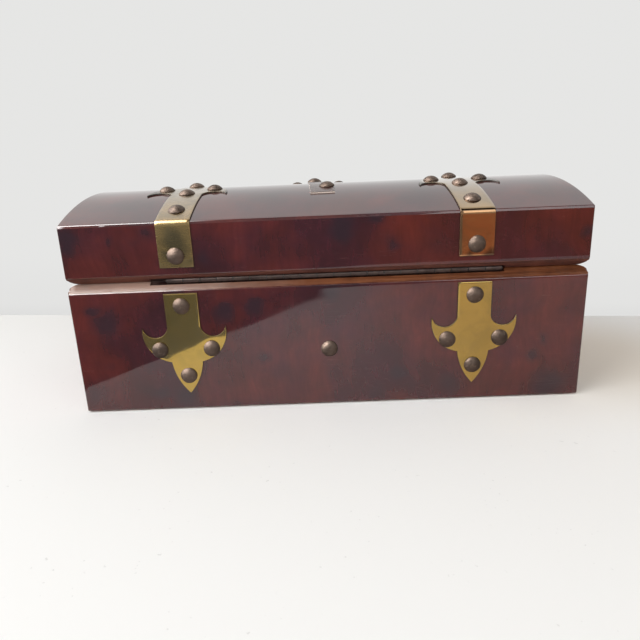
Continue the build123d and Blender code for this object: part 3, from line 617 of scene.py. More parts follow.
def brass_plate(name, place, root, tip, rivets, seed, tail=0.0):
    """An anchor-ended brass plate: its top and underside are filled by patches, and its edge is
    a loop carried from the top over a filed arris to the underside. Height is the thickness
    plus slow waves, less a Gaussian dimple round each rivet. rim is 1 on the edge."""
    outline = plate_side(root, tip, tail)
    ripple_size = bpy.context.scene.box_brass.sheet_ripple

    def top_height(flat):
        height = STRAP_THICK + ripple(flat[..., 0], flat[..., 1], seed, ripple_size)
        for x, s in rivets:
            distance = (flat[..., 0] - x) ** 2 + (flat[..., 1] - s) ** 2
            height = height - 0.08 * MM * np.exp(-distance / RIVET_DIMPLE**2)
        return height

    points, quads, rims = [], [], []
    total = 0

    def put(flat, height, faces, rim):
        nonlocal total
        solid = np.stack(place(flat[..., 0], flat[..., 1], height), axis=-1).reshape(-1, 3)
        points.append(solid)
        quads.append(faces + total)
        rims.append(np.full(len(solid), 1.0) * rim)
        total += len(solid)

    inner = inset_plate(outline, FILED_EDGE)
    for patch in plate_patches(inner):
        put(patch, top_height(patch), grid_quads(*patch.shape[:2]), 0.0)
    for patch in plate_patches(outline):
        put(patch, np.zeros(patch.shape[:2]), grid_quads(*patch.shape[:2]), 1.0)
    inset = plate_loop(inner)
    middle = plate_loop(inset_plate(outline, 0.35 * FILED_EDGE))
    outer = plate_loop(outline)
    lift = top_height(inset)
    loops = np.stack([inset, middle, outer, outer])
    heights = np.stack([lift, lift - 0.3 * FILED_EDGE, lift - FILED_EDGE, np.zeros_like(lift)])
    rim = np.repeat([0.0, 0.25, 1.0, 1.0], len(inset))
    put(loops, heights, grid_quads(4, len(inset), wrap=True), rim)
    return new_piece(name, np.concatenate(points), np.concatenate(quads), rim=np.concatenate(rims))


def rivet_heads(name, frames, seed):
    """Domed heads, each a circle carried up an arc: radius r sin(a), height falls as
    cos(a), with slow dents round the dome. frames are (point, normal) pairs."""
    brass = bpy.context.scene.box_brass
    draw = np.random.default_rng(seed)
    radius = brass.rivet_radius
    tall = brass.rivet_height
    edge = 0.4 * MM
    cap = tall - edge
    ball = (radius**2 + cap**2) / (2 * cap)
    widest = asin(radius / ball)
    angle = np.linspace(0, widest, 10)
    ring_radius = np.concatenate([ball * np.sin(angle), [radius * 1.01, radius * 0.97, 0.0]])
    ring_height = np.concatenate([tall - ball * (1 - np.cos(angle)), [0.3 * edge, -0.3 * MM, -0.3 * MM]])
    turn = np.linspace(0, 2 * pi, 33)[:-1]
    points, quads = [], []
    for number, (origin, normal) in enumerate(frames):
        lean = normal + draw.normal(0, 0.035, 3)
        lean /= np.linalg.norm(lean)
        side = np.cross(lean, (0.31, 0.17, 0.93))
        side /= np.linalg.norm(side)
        up = np.cross(lean, side)
        dent = 1 + 0.012 * np.sin(2 * turn + draw.uniform(0, 6))
        dent = dent + 0.008 * np.sin(3 * turn + draw.uniform(0, 6))
        reach = ring_radius[:, None] * dent
        sag = 0.05 * MM * draw.uniform(0, 1) * np.cos(turn + draw.uniform(0, 6))
        sag = sag * (ring_radius / radius)[:, None]
        lift = ring_height[:, None] + np.where(ring_height[:, None] > edge, sag, 0)
        head = (
            origin
            + reach[..., None] * (np.cos(turn)[:, None] * side + np.sin(turn)[:, None] * up)
            + lift[..., None] * lean
        )
        first = number * len(ring_radius) * len(turn)
        quads.append(grid_quads(len(ring_radius), len(turn), wrap=True) + first)
        points.append(head)
    return new_piece(name, np.array(points), np.concatenate(quads))


def frame_at(place, x, s, height=RIVET_SEAT):
    """The point and normal on a plate at flat coordinates x, s."""
    spot, above = (
        np.array([float(part) for part in place(np.array(x), np.array(s), np.array(h))])
        for h in (height, height + MM)
    )
    return spot, (above - spot) / MM


# Node helpers
class Flow:
    """What a node puts out. Arithmetic on it adds maths nodes to its tree."""

    def __init__(self, socket):
        self.socket = socket
        self.tree = socket.id_data

    def __add__(self, other):
        return maths("ADD", self, other)

    def __sub__(self, other):
        return maths("SUBTRACT", self, other)

    def __rsub__(self, other):
        return maths("SUBTRACT", other, self)

    def __mul__(self, other):
        return maths("MULTIPLY", self, other)

    def __truediv__(self, other):
        return maths("DIVIDE", self, other)


def put(socket, value):
    """Links a Flow to a socket, or sets the socket's own value."""
    if isinstance(value, Flow):
        value.tree.links.new(value.socket, socket)
    elif socket.type == "RGBA":
        socket.default_value = (*value[:3], 1.0)
    else:
        socket.default_value = value


def add(tree, kind, sockets=None, **settings):
    """A node with its settings and what goes into its sockets."""
    made = tree.nodes.new(kind)
    for key, value in settings.items():
        setattr(made, key, value)
    for key, value in (sockets or {}).items():
        put(made.inputs[key], value)
    return made


def flow(kind, sockets, output=0, **settings):
    """One output of a new node, in the tree of what flows into it."""
    tree = next(value.tree for value in sockets.values() if isinstance(value, Flow))
    return Flow(add(tree, kind, sockets, **settings).outputs[output])


def maths(operation, first, second=0.0, third=0.0, clamp=False):
    """A maths node's output."""
    return flow("ShaderNodeMath", {0: first, 1: second, 2: third}, operation=operation, use_clamp=clamp)


def vector_maths(operation, *values, output=0):
    """A vector maths node's output."""
    return flow("ShaderNodeVectorMath", dict(enumerate(values)), output, operation=operation)


def split(vector):
    """A vector's X, Y and Z."""
    return [Flow(part) for part in add(vector.tree, "ShaderNodeSeparateXYZ", {0: vector}).outputs]


def mix(factor, first, second, blend="MIX"):
    """A mix of two colours."""
    return flow("ShaderNodeMix", {0: factor, 6: first, 7: second}, 2, data_type="RGBA", blend_type=blend)


def tinted(colour, *shares):
    """A colour times one share, or times a share for each of its three parts."""
    return tuple(part * share for part, share in zip(colour, shares * 3))


def ramp(factor, *stops, smooth=True):
    """A colour ramp from (position, value) or (position, colour) stops."""
    made = add(factor.tree, "ShaderNodeValToRGB", {0: factor})
    made.color_ramp.interpolation = "EASE" if smooth else "LINEAR"
    elements = made.color_ramp.elements
    while len(elements) < len(stops):
        elements.new(0.5)
    for element, (position, value) in zip(elements, stops):
        element.position = position
        element.color = (*(value if isinstance(value, tuple) else (value,) * 3), 1.0)
    return Flow(made.outputs[0])


def mask(factor, low, high, full=1.0):
    """A soft step: 0 up to low, and full from high on."""
    return ramp(factor, (low, 0.0), (high, full))


def stretched(vector, scale, turn=(0.0, 0.0, 0.0), shift=(0.0, 0.0, 0.0)):
    """Coordinates stretched by a Mapping node."""
    return flow("ShaderNodeMapping", {"Vector": vector, "Scale": scale, "Rotation": turn, "Location": shift})


def noise(vector, scale, detail=3.0, rough=0.55, warp=0.0):
    """A noise texture's value."""
    sockets = {"Vector": vector, "Scale": scale, "Detail": detail, "Roughness": rough, "Distortion": warp}
    return flow("ShaderNodeTexNoise", sockets)


def drift(vector, scale):
    """A slow noise for each of X, Y and Z."""
    return flow("ShaderNodeTexNoise", {"Vector": vector, "Scale": scale, "Detail": 2.0}, "Color")


def coordinates(tree, kind="Object"):
    """Texture coordinates."""
    return Flow(add(tree, "ShaderNodeTexCoord").outputs[kind])


def ray_is(tree, kind):
    """1 for one kind of ray, and 0 for the others."""
    return Flow(add(tree, "ShaderNodeLightPath").outputs[f"Is {kind} Ray"])


def start_group(name, inputs):
    """An empty shader group's inputs, from names and defaults. One without a default is a vector."""
    group = bpy.data.node_groups.new(name, "ShaderNodeTree")
    for label, default in inputs.items():
        kind = "NodeSocketFloat" if isinstance(default, float) else "NodeSocketVector"
        socket = group.interface.new_socket(label, in_out="INPUT", socket_type=kind)
        if default is not None:
            socket.default_value = default
    start = group.nodes.new("NodeGroupInput")
    return [Flow(start.outputs[label]) for label in inputs]


def end_group(**masks):
    """Gives a group its named outputs."""
    tree = next(iter(masks.values())).tree
    for label in masks:
        tree.interface.new_socket(label, in_out="OUTPUT", socket_type="NodeSocketFloat")
    add(tree, "NodeGroupOutput", masks)


def use_group(name, sockets):
    """A group node with its values: what it puts out, by name."""
    tree = sockets["Vector"].tree
    made = add(tree, "ShaderNodeGroup", node_tree=bpy.data.node_groups[name])
    for key, value in sockets.items():
        put(made.inputs[key], value)
    return {socket.name: Flow(socket) for socket in made.outputs}


# Shared effects
def make_figure_group():
    """Figured veneer. Red is the share of red ground against purple. Shade multiplies the
    colour: broad mottle times fibres, which run along Z through coordinates bent by a slow
    noise, so that they curl. Spot is a mask of small, soft dark spots."""
    place, clouds = start_group("Figured veneer", {"Vector": None, "Clouds": CLOUD_SCALE})
    centred = vector_maths("SUBTRACT", drift(place, 26.0), (0.5, 0.5, 0.5))
    bent = vector_maths("MULTIPLY_ADD", centred, (FIGURE_BEND,) * 3, place)
    mottle = ramp(noise(bent, 50.0, 3.0, 0.5), (0.25, 0.66), (0.5, 1.0), (0.78, 1.42), smooth=False)
    fibre = noise(stretched(bent, (1.0, 1.0, 0.07)), 820.0, 3.0, 0.6)
    band = noise(stretched(bent, (1.0, 1.0, 0.06)), 300.0, 3.0, 0.6)
    grain = ramp(fibre * 0.5 + band * 0.5, (0.30, 0.80), (0.5, 1.0), (0.70, 1.20), smooth=False)
    spots = mask(noise(place, 118.0, 1.0, 0.4, 0.3), 0.60, 0.74)
    patches = mask(noise(place, 31.0, 1.0), 0.42, 0.60)
    end_group(
        Red=mask(noise(place, clouds, 4.0, 0.55, 0.4), 0.36, 0.64), Shade=mottle * grain, Spot=spots * patches
    )


def make_wear_group():
    """Wear along the arrises of a box. Of the distances to the box's three pairs of faces the
    smallest is the face itself, so the second smallest is the distance to the nearest edge:
    the sum less the smallest and the largest. Noise breaks the band up."""
    place, half, centre, reach, break_up = start_group("Edge wear", {
        "Vector": None, "Half size": (0.12, 0.062, 0.03), "Centre height": 0.03, "Reach": 0.0015,
        "Break-up": 0.6,
    })
    x, y, z = split(place)
    first, second, third = (
        maths("ABSOLUTE", size - maths("ABSOLUTE", value))
        for size, value in zip(split(half), (x, y, z - centre))
    )
    least, most = (maths(end, maths(end, first, second), third) for end in ("MINIMUM", "MAXIMUM"))
    near = first + second + third - least - most
    close = maths("SUBTRACT", 1.0, near / reach, clamp=True)
    broken = (noise(place, 230.0, 4.0, 0.65) - 0.5) * break_up
    worn = ramp(close + broken * 2.0, (0.0, 0.0), (0.45, 0.0), (0.9, 1.0))
    end_group(Wear=worn * mask(close, 0.0, 0.15))


def make_scratch_group():
    """Fine scratches: thin bands where a stretched, warped noise crosses its middle value,
    kept only where a second noise is high."""
    place, density = start_group("Scratches", {"Vector": None, "Density": 0.5})
    total = None
    for turn, shift in ((0.35, 0.3), (-0.9, 1.7), (1.25, 2.9)):
        lines = stretched(place, (22.0, 22.0, 260.0), (turn, turn * 0.6, turn), (shift,) * 3)
        thin = maths("ABSOLUTE", noise(lines, 2.4, 1.0, 0.4, 0.15) - 0.5)
        line = ramp(thin, (0.0, 1.0), (0.0045, 0.0), smooth=False)
        kept = line * mask(noise(place, 60.0 + 9 * shift, 1.0), 0.56, 0.66)
        total = kept if total is None else maths("MAXIMUM", total, kept)
    end_group(Scratch=total * density)


def make_tarnish_group():
    """Tarnish on metal: soft clouds and small spots. Cloud is broad and Spot is fine."""
    place, amount = start_group("Tarnish", {"Vector": None, "Amount": 0.5})
    cloud = mask(noise(place, 85.0, 4.0, 0.6, 0.8), 0.38, 0.68)
    spot = mask(noise(place, 620.0, 3.0, 0.6), 0.62, 0.72)
    end_group(Cloud=cloud * amount, Spot=spot * amount)


# Materials
def start_material(name):
    """A new material's Principled shader and its Object coordinates."""
    material = bpy.data.materials.new(name)
    material.use_nodes = True
    return material.node_tree.nodes["Principled BSDF"], coordinates(material.node_tree)


def feed(shader, **sockets):
    """Links or sets the shader's sockets by name, with underscores for spaces."""
    for key, value in sockets.items():
        put(shader.inputs[key.replace("_", " ")], value)


def bump(height, strength, distance):
    """A bump node's normal."""
    return flow("ShaderNodeBump", {"Height": height, "Strength": strength, "Distance": distance})


def tarnish(place, amount):
    """The tarnish group's clouds and spots."""
    marks = use_group("Tarnish", {"Vector": place, "Amount": amount})
    return marks["Cloud"], marks["Spot"]


def scratches(place, density):
    """The scratch group's mask."""
    return use_group("Scratches", {"Vector": place, "Density": density})["Scratch"]


def dark_clouds(place, clouds):
    """A mask of soft clouds: each is its depth times one less the distance to its middle over
    its reach, along coordinates flattened onto X and Z and bent by noise. The deepest counts."""
    bent = vector_maths("MULTIPLY_ADD", drift(place, 75.0), (CLOUD_BEND,) * 3, place)
    flat = vector_maths("MULTIPLY_ADD", bent, (1.0, 0.0, 1.0), (-CLOUD_BEND / 2, 0.0, -CLOUD_BEND / 2))
    deepest = 0.0
    for x, z, reach, depth in clouds:
        gap = vector_maths("DISTANCE", flat, (x * MM, 0.0, z * MM), output="Value")
        deepest = maths("MAXIMUM", deepest, maths("MULTIPLY_ADD", gap, -depth / (reach * MM), depth))
    return mask(deepest, 0.0, 0.7)


def painted_sheen_mask(place, painted_sheen):
    """How much painted sheen the wood has: it grows towards +X, unevenly."""
    uneven = noise(place, 38.0, 3.0, 0.6, 0.4) - 0.5
    return mask(maths("MULTIPLY_ADD", uneven, 0.08, split(place)[0]), 0.0, 0.085, painted_sheen)


def lacquer_material(name, low, high, shift, arched=False, clouds=()):
    """Dark figured veneer under glossy lacquer, worn along its arrises and lightly marked."""
    finish = bpy.context.scene.box_finish
    shader, place = start_material(name)
    moved = stretched(place, (1.0, 1.0, 1.0), (pi / 2 if arched else 0.0, 0.0, 0.0), shift)
    figure = use_group("Figured veneer", {"Vector": moved, "Clouds": CLOUD_SCALE})
    colour = mix(figure["Red"], finish.purple_wood, finish.red_wood)
    shade = flow("ShaderNodeCombineXYZ", dict.fromkeys(range(3), figure["Shade"]))
    colour = mix(1.0, colour, shade, "MULTIPLY")
    colour = mix(figure["Spot"] * 0.3, colour, finish.spot_wood)
    if clouds:
        colour = mix(dark_clouds(place, clouds) * 0.85, colour, finish.spot_wood)
    wear = use_group("Edge wear", {
        "Vector": place, "Half size": (HALF_LENGTH, HALF_DEPTH, (high - low) / 2),
        "Centre height": (high + low) / 2, "Reach": 0.8 * MM, "Break-up": 0.5,
    })["Wear"]
    scratch = scratches(place, 0.11)
    colour = mix(scratch, mix(wear * 0.5, colour, WORN_WOOD), SCRATCHED_LACQUER)
    gloss = ramp(noise(place, 34.0, 4.0, 0.6, 0.8), (0.35, 0.035), (0.75, 0.085))
    height = noise(place, 110.0, 2.0, 0.5) * 0.5 - scratch * 0.6
    feed(
        shader, Base_Color=colour, Roughness=gloss + wear * 0.12, IOR=1.65,
        Normal=bump(height, 0.03, 0.4 * MM),
    )


def hinge_channel_shade(place):
    """A mask of painted shade in the channel that the hinge knuckles lie in: near the hinge's
    axis, fading out towards both ends of the channel."""
    x, y, z = split(place)
    low, high = HINGE_CHANNEL
    from_end = (high - low) / 2 - maths("ABSOLUTE", x - (high + low) / 2)
    inside = maths("MULTIPLY_ADD", from_end, 1.0 / CHANNEL_FADE, 0.75, clamp=True)
    inside = inside * maths("GREATER_THAN", from_end, 0.0)
    squares = maths("POWER", y - HINGE_Y, 2.0) + maths("POWER", z - HINGE_Z, 2.0)
    gap = CHANNEL_RADIUS + 0.15 * MM - maths("SQRT", squares)
    return inside * maths("DIVIDE", gap, 0.12 * MM, clamp=True)


def wood_material(name, dark, light, gloss, shine=0.5, painted_sheen=0.0):
    """Plain wood: streaks along X with pores, under a thin polish, and painted shade in the hinge
    channel. Towards +X it can be painted paler in patches, as a painted sheen."""
    shader, place = start_material(name)
    along = stretched(place, (0.05, 1.0, 1.0))
    streak = noise(along, 420.0, 4.0, 0.65, 0.5)
    pit = ramp(noise(along, 1900.0, 2.0, 0.6), (0.34, 1.0), (0.42, 0.0))
    broad = noise(place, 38.0, 3.0, 0.6, 0.4)
    colour = ramp(streak * 0.65 + broad * 0.4, (0.32, dark), (0.72, light))
    colour = mix(pit * 0.45, colour, tinted(dark, 0.35))
    colour = mix(mask(noise(place, 60.0, 4.0, 0.7, 0.6), 0.5, 0.75, 0.5), colour, OLD_STAIN)
    # Painted sheen: the wood turns paler towards +X.
    if painted_sheen:
        colour = mix(painted_sheen_mask(place, painted_sheen), colour, PAINTED_SHEEN_WOOD)
    feed(
        # The wood in the hinge channel is darkened with painted shade.
        shader, Base_Color=mix(hinge_channel_shade(place), colour, CHANNEL_SHADE),
        Roughness=ramp(streak, (0.3, gloss), (0.8, gloss + 0.18)), Specular_IOR_Level=shine,
        Normal=bump(streak - pit, 0.25, 0.15 * MM),
    )


def brass_material(
    name, brass, tarnished, rough, dull=0.16, edge=EDGE_DIRT_AND_SHADOW, edge_from=0.05, haze=None,
    stains_and_reflections=(), stain_and_reflection_colour=None, fold_dirt_and_shade=0.0, browned=False, top_shade=None,
):
    """Sheet brass under old varnish, with clouds of olive tarnish, brown spots and fine rubbing
    lines. Its edges take the edge colour: by default dirt with painted shadow, while the tail's
    is a pale painted highlight. It can have stains and painted dark reflections at given places,
    dirt and painted shade along the fold, a darker painted shade above the fold with painted
    shadows on the horns, and be browned beyond the ridge."""
    shader, place = start_material(name)
    cloud, spots = tarnish(place, tarnished)
    shade = mix(cloud, brass, tinted(brass, 0.50, 0.58, 0.75))
    shade = mix(spots * 0.6, shade, BROWN_SPOTS)
    rim = Flow(add(place.tree, "ShaderNodeAttribute", attribute_name="rim").outputs["Fac"])
    # The rim band takes the edge colour: by default dirt with painted shadow.
    band_mask = mask(rim, edge_from, edge_from + 0.4, 0.9)
    shade = mix(band_mask, shade, edge)
    if stains_and_reflections:
        # Stains, and painted dark reflections, from the given list.
        shade = mix(dark_clouds(place, stains_and_reflections) * 0.85, shade, stain_and_reflection_colour)
    _, y, z = split(place)
    if fold_dirt_and_shade:
        # A darker band along the fold: dirt and painted shade, which dims the fold's highlight.
        off = maths("ABSOLUTE", z - (LID_SIDE_TOP + 0.1 * MM))
        fold = maths("MULTIPLY_ADD", off, -fold_dirt_and_shade / (1.4 * MM), fold_dirt_and_shade, clamp=True)
        shade = mix(fold, shade, FOLD_DIRT_AND_SHADE)
    black = 0.0
    if top_shade:
        # Darker above the fold: painted shade against the bright reflection on the arch.
        above = maths("DIVIDE", z - LID_SIDE_TOP, 0.8 * MM, clamp=True)
        shade = mix(above, shade, top_shade, "MULTIPLY")
        # Painted shadows on the horns, with no shine or coat there.
        black = dark_clouds(place, HORN_SHADOWS) * 0.9
        shade = mix(black, shade, HORN_SHADOW_COLOUR)
    scratch = scratches(place, 0.35)
    rub = noise(stretched(place, (60.0, 60.0, 900.0), (0.2, 0.3, 0.1)), 3.0, 2.0, 0.5)
    matt = ramp(rub, (0.3, rough), (0.8, rough * 1.3)) + cloud * dull + scratch * 0.2 + band_mask * 0.4
    shine = (1.0 - band_mask * 0.9) * (1.0 - black)
    coat = (1.0 - band_mask) * (1.0 - black)
    if browned:
        brown = maths("MULTIPLY_ADD", y, 70.0, 0.4, clamp=True) * (1.0 - band_mask)
        shade = mix(brown, shade, BROWNED_BRASS)
        shine = shine * (1.0 - brown * 0.9)
        matt = maths("SUBTRACT", matt, brown * 0.14, clamp=True)
        coat = coat * (1.0 - brown)
    height = noise(place, 260.0, 3.0, 0.5) * 0.5 - scratch * 0.4
    feed(
        shader, Base_Color=shade, Roughness=matt, Metallic=shine, Coat_Weight=coat,
        Coat_Roughness=haze or rough, Normal=bump(height, 0.06, 0.25 * MM),
    )


def bronze_material():
    """Dark bronzed rivet heads, rubbed lighter in places."""
    bronze = bpy.context.scene.box_brass.bronze
    shader, place = start_material("rivet_bronze")
    cloud, _ = tarnish(place, 1.0)
    rubbed = mask(noise(place, 480.0, 4.0, 0.65), 0.52, 0.74)
    colour = mix(rubbed * 0.5, mix(cloud, bronze, tinted(bronze, 0.55)), RUBBED_BRONZE)
    feed(
        shader, Base_Color=colour, Roughness=ramp(rubbed, (0.0, 0.54), (1.0, 0.42)), Metallic=0.85,
        Normal=bump(noise(place, 900.0, 3.0, 0.6), 0.16, 0.2 * MM),
    )


def grey_metal_material(name, colour, rough, knuckle=0.0):
    """Dull grey tarnished metal with brown dirt, and black dirt between hinge knuckles, whose
    ends repeat along X at the knuckle spacing."""
    shader, place = start_material(name)
    cloud, spots = tarnish(place, 1.0)
    shade = mix(spots, mix(cloud, colour, tinted(colour, 0.5)), METAL_DIRT)
    shine = 0.9
    if knuckle:
        turns = maths("MULTIPLY_ADD", split(place)[0], 1.0 / knuckle, 0.5 - HINGE_X / knuckle)
        off = maths("ABSOLUTE", maths("FRACT", turns) - 0.5)
        band_mask = ramp(off, (0.018, 1.0), (0.05, 0.0))
        shade = mix(band_mask, shade, KNUCKLE_DIRT)
        shine = shine - band_mask * shine
    feed(
        shader, Base_Color=shade, Roughness=ramp(cloud, (0.0, rough), (1.0, rough + 0.2)), Metallic=shine,
        Normal=bump(noise(place, 1400.0, 3.0), 0.2, 0.15 * MM),
    )


def cloth_material(name, colour, fine, sheen, rough):
    """Cloth: a fine crossed weave in the bump, slow fading in the colour and a soft sheen."""
    shader, place = start_material(name)
    fade = noise(place, 22.0, 3.0, 0.6)
    weave = {"Vector": place, "Scale": fine, "Distortion": 1.5}
    warp, weft = (flow("ShaderNodeTexWave", weave, "Fac", bands_direction=way) for way in "XY")
    pile = warp + weft
    shade = mix(mask(fade, 0.3, 0.8, 0.6), colour, tinted(colour, 0.6))
    feed(
        shader, Base_Color=mix(pile * 0.12, shade, (0.0, 0.0, 0.0)),
        Roughness=ramp(fade, (0.2, rough), (0.9, rough + 0.12)), Sheen_Weight=sheen, Sheen_Roughness=0.4,
        Normal=bump(pile, 0.25, 0.1 * MM),
    )


def make_materials():
    """Every finish on the box, by name."""
    silk = bpy.context.scene.box_finish.silk
    brass = bpy.context.scene.box_brass.brass
    make_figure_group()
    make_wear_group()
    make_scratch_group()
    make_tarnish_group()
    lacquer_material("base_lacquer", BASE_LOW.z, BASE_FACE_TOP, (0.37, 0.11, 0.05), clouds=BASE_CLOUDS)
    lacquer_material("lid_lacquer", LID_FACE_LOW, LID_SIDE_TOP, LID_FIGURE, clouds=LID_CLOUDS)
    lacquer_material("lid_end_lacquer", LID_FACE_LOW, CROWN + 5 * MM, LID_FIGURE)
    lacquer_material("lid_top_lacquer", LID_FACE_LOW, CROWN, (2.9, 1.3, 0.9), arched=True)
    # The base's rim wood has a painted sheen towards +X.
    wood_material("base_rim_wood", (0.070, 0.022, 0.010), (0.19, 0.066, 0.028), 0.16, shine=0.17, painted_sheen=0.62)
    # A darker copy of the base's rim wood: painted shade for the lid's downward-facing rim.
    wood_material("lid_rim_wood", (0.050, 0.015, 0.011), (0.12, 0.038, 0.024), 0.42, shine=0.2)
    wood_material("inner_wood", (0.20, 0.075, 0.035), (0.42, 0.19, 0.09), 0.45)
    old_brass = tinted(brass, 0.92, 0.94, 1.7)
    warm_brass = tinted(brass, 1.08, 0.84, 1.7)
    brass_material("mount_brass", brass, 0.35, 0.035, dull=0.10, haze=0.35)
    brass_material(
        "strap_brass", old_brass, 0.7, 0.22, edge_from=0.02, fold_dirt_and_shade=0.45,
        stains_and_reflections=RIGHT_LEG_STAIN, stain_and_reflection_colour=(0.15, 0.12, 0.055), top_shade=(0.55, 0.49, 0.38),
    )
    # warm_brass: its list is a painted dark reflection low on the leg.
    brass_material(
        "warm_brass", warm_brass, 0.5, 0.09, dull=0.08, edge_from=0.02, fold_dirt_and_shade=0.9,
        stains_and_reflections=LEFT_LEG_DARK_REFLECTION, stain_and_reflection_colour=(0.05, 0.035, 0.02), top_shade=(0.50, 0.57, 0.42),
    )
    # The tail's edge colour is a pale painted highlight.
    brass_material(
        "tail_brass", tinted(old_brass, 0.42), 1.0, 0.26, edge=(0.80, 0.70, 0.62), edge_from=0.45,
        browned=True,
    )
    brass_material("lock_brass", brass, 0.5, 0.16)
    bronze_material()
    grey_metal_material("hinge_metal", (0.090, 0.066, 0.060), 0.40, KNUCKLE)
    grey_metal_material("screw_metal", (0.45, 0.42, 0.38), 0.35)
    cloth_material("padded_silk", silk, 900.0, 0.35, 0.42)
    cloth_material("velvet_lining", tinted(silk, 0.55), 1500.0, 0.8, 0.8)
    cloth_material("baize", (0.028, 0.045, 0.026), 1300.0, 0.5, 0.9)


def paint(piece, name):
    """Gives a piece one material."""
    piece.data.materials.clear()
    piece.data.materials.append(bpy.data.materials[name])


def settle(piece, body, slot, material, *nodes):
    """Paints a piece, rides it on a body, and has it stand for its CAD nodes."""
    paint(piece, material)
    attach(piece, body)
    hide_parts(*nodes)
    return piece


# Pieces
def make_face(body, label, material, *panel):
    """A lacquered face of the base or the lid, with bare wood on its edges."""
    piece = veneer_panel(f"{body}_{label}_face", *panel)
    settle(piece, body, "lacquered_veneer", material, f"{body}_{label}_veneer")
    bare_edges(piece, f"{body}_rim_wood")


def make_base_veneers():
    """The four lacquered faces of the base."""
    finish = bpy.context.scene.box_finish
    worn, corner = finish.edge_round, finish.corner_round
    low = BASE_LOW.z
    span = (-HALF_LENGTH, HALF_LENGTH)
    across = (-CARCASS_Y, CARCASS_Y)
    rise = (low, BASE_RIM)
    for side, label in LONG_SIDES:
        make_face(
            "base", label, "base_lacquer", on_long_face(side), span, (low, BASE_FACE_TOP),
            span, (low, BASE_HIGH.z), (corner, corner, worn, worn), (150, 44), 11 + side,
        )
    for side, label in ENDS:
        make_face(
            "base", label, "base_lacquer", on_end_face(side, rise, lambda x, y: low, base_top), across, rise,
            across, rise, (0.0, 0.0, worn, worn), (80, 44), 21 + side,
        )


def make_lid_veneers():
    """The arched top and the four faces of the lid."""
    finish = bpy.context.scene.box_finish
    worn, corner = finish.edge_round, finish.corner_round
    under_radius = ARCH_RADIUS - VENEER
    top_outside, top_inside = (ARCH_CENTRE + sqrt(under_radius**2 - y**2) for y in (HALF_DEPTH, CARCASS_Y))
    span = (-HALF_LENGTH, HALF_LENGTH)
    across = (-CARCASS_Y, CARCASS_Y)
    rise = (LID_RIM, ARCH_CENTRE + under_radius)
    for side, label in LONG_SIDES:
        make_face(
            "lid", label, "lid_lacquer", on_long_face(side, True), span, (LID_FACE_LOW, top_outside),
            span, (LID_LOW.z, top_inside), (corner, corner, worn, 0.0), (150, 22), 31 + side,
        )
    for side, label in ENDS:
        make_face(
            "lid", label, "lid_end_lacquer", on_end_face(side, rise, lid_low, arch_under), across, rise,
            across, rise, (0.0, 0.0, worn, 0.0), (80, 30), 41 + side,
        )
    outer = asin(HALF_DEPTH / ARCH_RADIUS) * ARCH_RADIUS
    inner = asin(HALF_DEPTH / under_radius) * ARCH_RADIUS
    end_worn = 0.7 * corner
    piece = veneer_panel(
        "lid_top_face", lambda u, v, h: on_arch_sheet(u, v / ARCH_RADIUS, h), span, (-outer, outer),
        span, (-inner, inner), (end_worn, end_worn, worn, worn), (150, 110), 51,
    )
    settle(piece, "lid", "lacquered_veneer", "lid_top_lacquer", "lid_top_veneer")


def mount_rivets(keyed):
    """Flat places of a mount's rivets."""
    places = [(-ARM_RIVET, 0.0), (ARM_RIVET, 0.0), (0.0, TIP_RIVET)]
    return places if keyed else places + [(0.0, TOP_RIVET)]


def strap_rivets(root, arm):
    """Flat places of a lid strap's rivets. Only the long straps have one on the shaft."""
    fold = arm - HALF_DEPTH
    places = [
        (0.0, LEG_RIVET_RISE - root), (0.0, fold + FOLD_RIVET),
        (-ARM_RIVET, 0.0), (ARM_RIVET, 0.0), (0.0, TIP_RIVET),
    ]
    return places + [(0.0, -STRAP_RIVET)] if arm < FRONT_ARM else places


def rivet_node_heads(name, place, places, body, seed, *nodes, lift=RIVET_SEAT):
    """Rivet heads on a plate, standing for its rivet nodes."""
    frames = [frame_at(place, x, s, lift) for x, s in places]
    piece = rivet_heads(name, frames, seed)
    return settle(piece, body, "bronzed_rivet", "rivet_bronze", *nodes)


def keyhole_cutter():
    """A keyhole-shaped prism: a round eye with a slot below it, as one outline carried along Y."""
    open_angle = asin(KEYHOLE_SLOT / KEYHOLE_RADIUS)
    turn = np.linspace(-pi / 2 + open_angle, 1.5 * pi - open_angle, 28)
    x = np.concatenate([KEYHOLE_RADIUS * np.cos(turn), [-KEYHOLE_SLOT, KEYHOLE_SLOT]])
    z = np.concatenate([KEYHOLE_RADIUS * np.sin(turn), [-KEYHOLE_DROP, -KEYHOLE_DROP]]) + KEYHOLE_Z
    ends = (-HALF_DEPTH - 3 * MM, -CARCASS_Y + 3 * MM)
    rows = np.array([np.stack([x, np.full_like(x, y), z], axis=-1) for y in ends])
    count = len(x)
    caps = [range(count), range(count, 2 * count)]
    return new_piece("keyhole_cutter", rows, grid_quads(2, count, wrap=True), caps)


def evaluated(piece):
    """A new mesh: the piece as its modifiers leave it."""
    return bpy.data.meshes.new_from_object(piece.evaluated_get(bpy.context.evaluated_depsgraph_get()))


def cut_keyhole(piece):
    """Cuts the keyhole through a piece and keeps the result as its mesh."""
    cutter = keyhole_cutter()
    cut = piece.modifiers.new("keyhole", "BOOLEAN")
    cut.object = cutter
    cut.operation = "DIFFERENCE"
    cut.solver = "EXACT"
    bpy.context.view_layer.update()
    made = evaluated(piece)
    piece.modifiers.clear()
    piece.data = made
    bpy.data.objects.remove(cutter)


def make_anchor(body, kind, node, place, root, tip, rivets, seed, finish):
    """An anchor-ended plate of the base or the lid with its rivets."""
    plate = brass_plate(f"{body}_{kind}_{node}_plate", place, root, tip, rivets, seed)
    settle(plate, body, "brass_sheet", finish, f"{body}_{kind}_{node}")
    rivet_node_heads(f"{body}_rivet_heads_{node}", place, rivets, body, seed + 10, f"{body}_rivets_{node}")


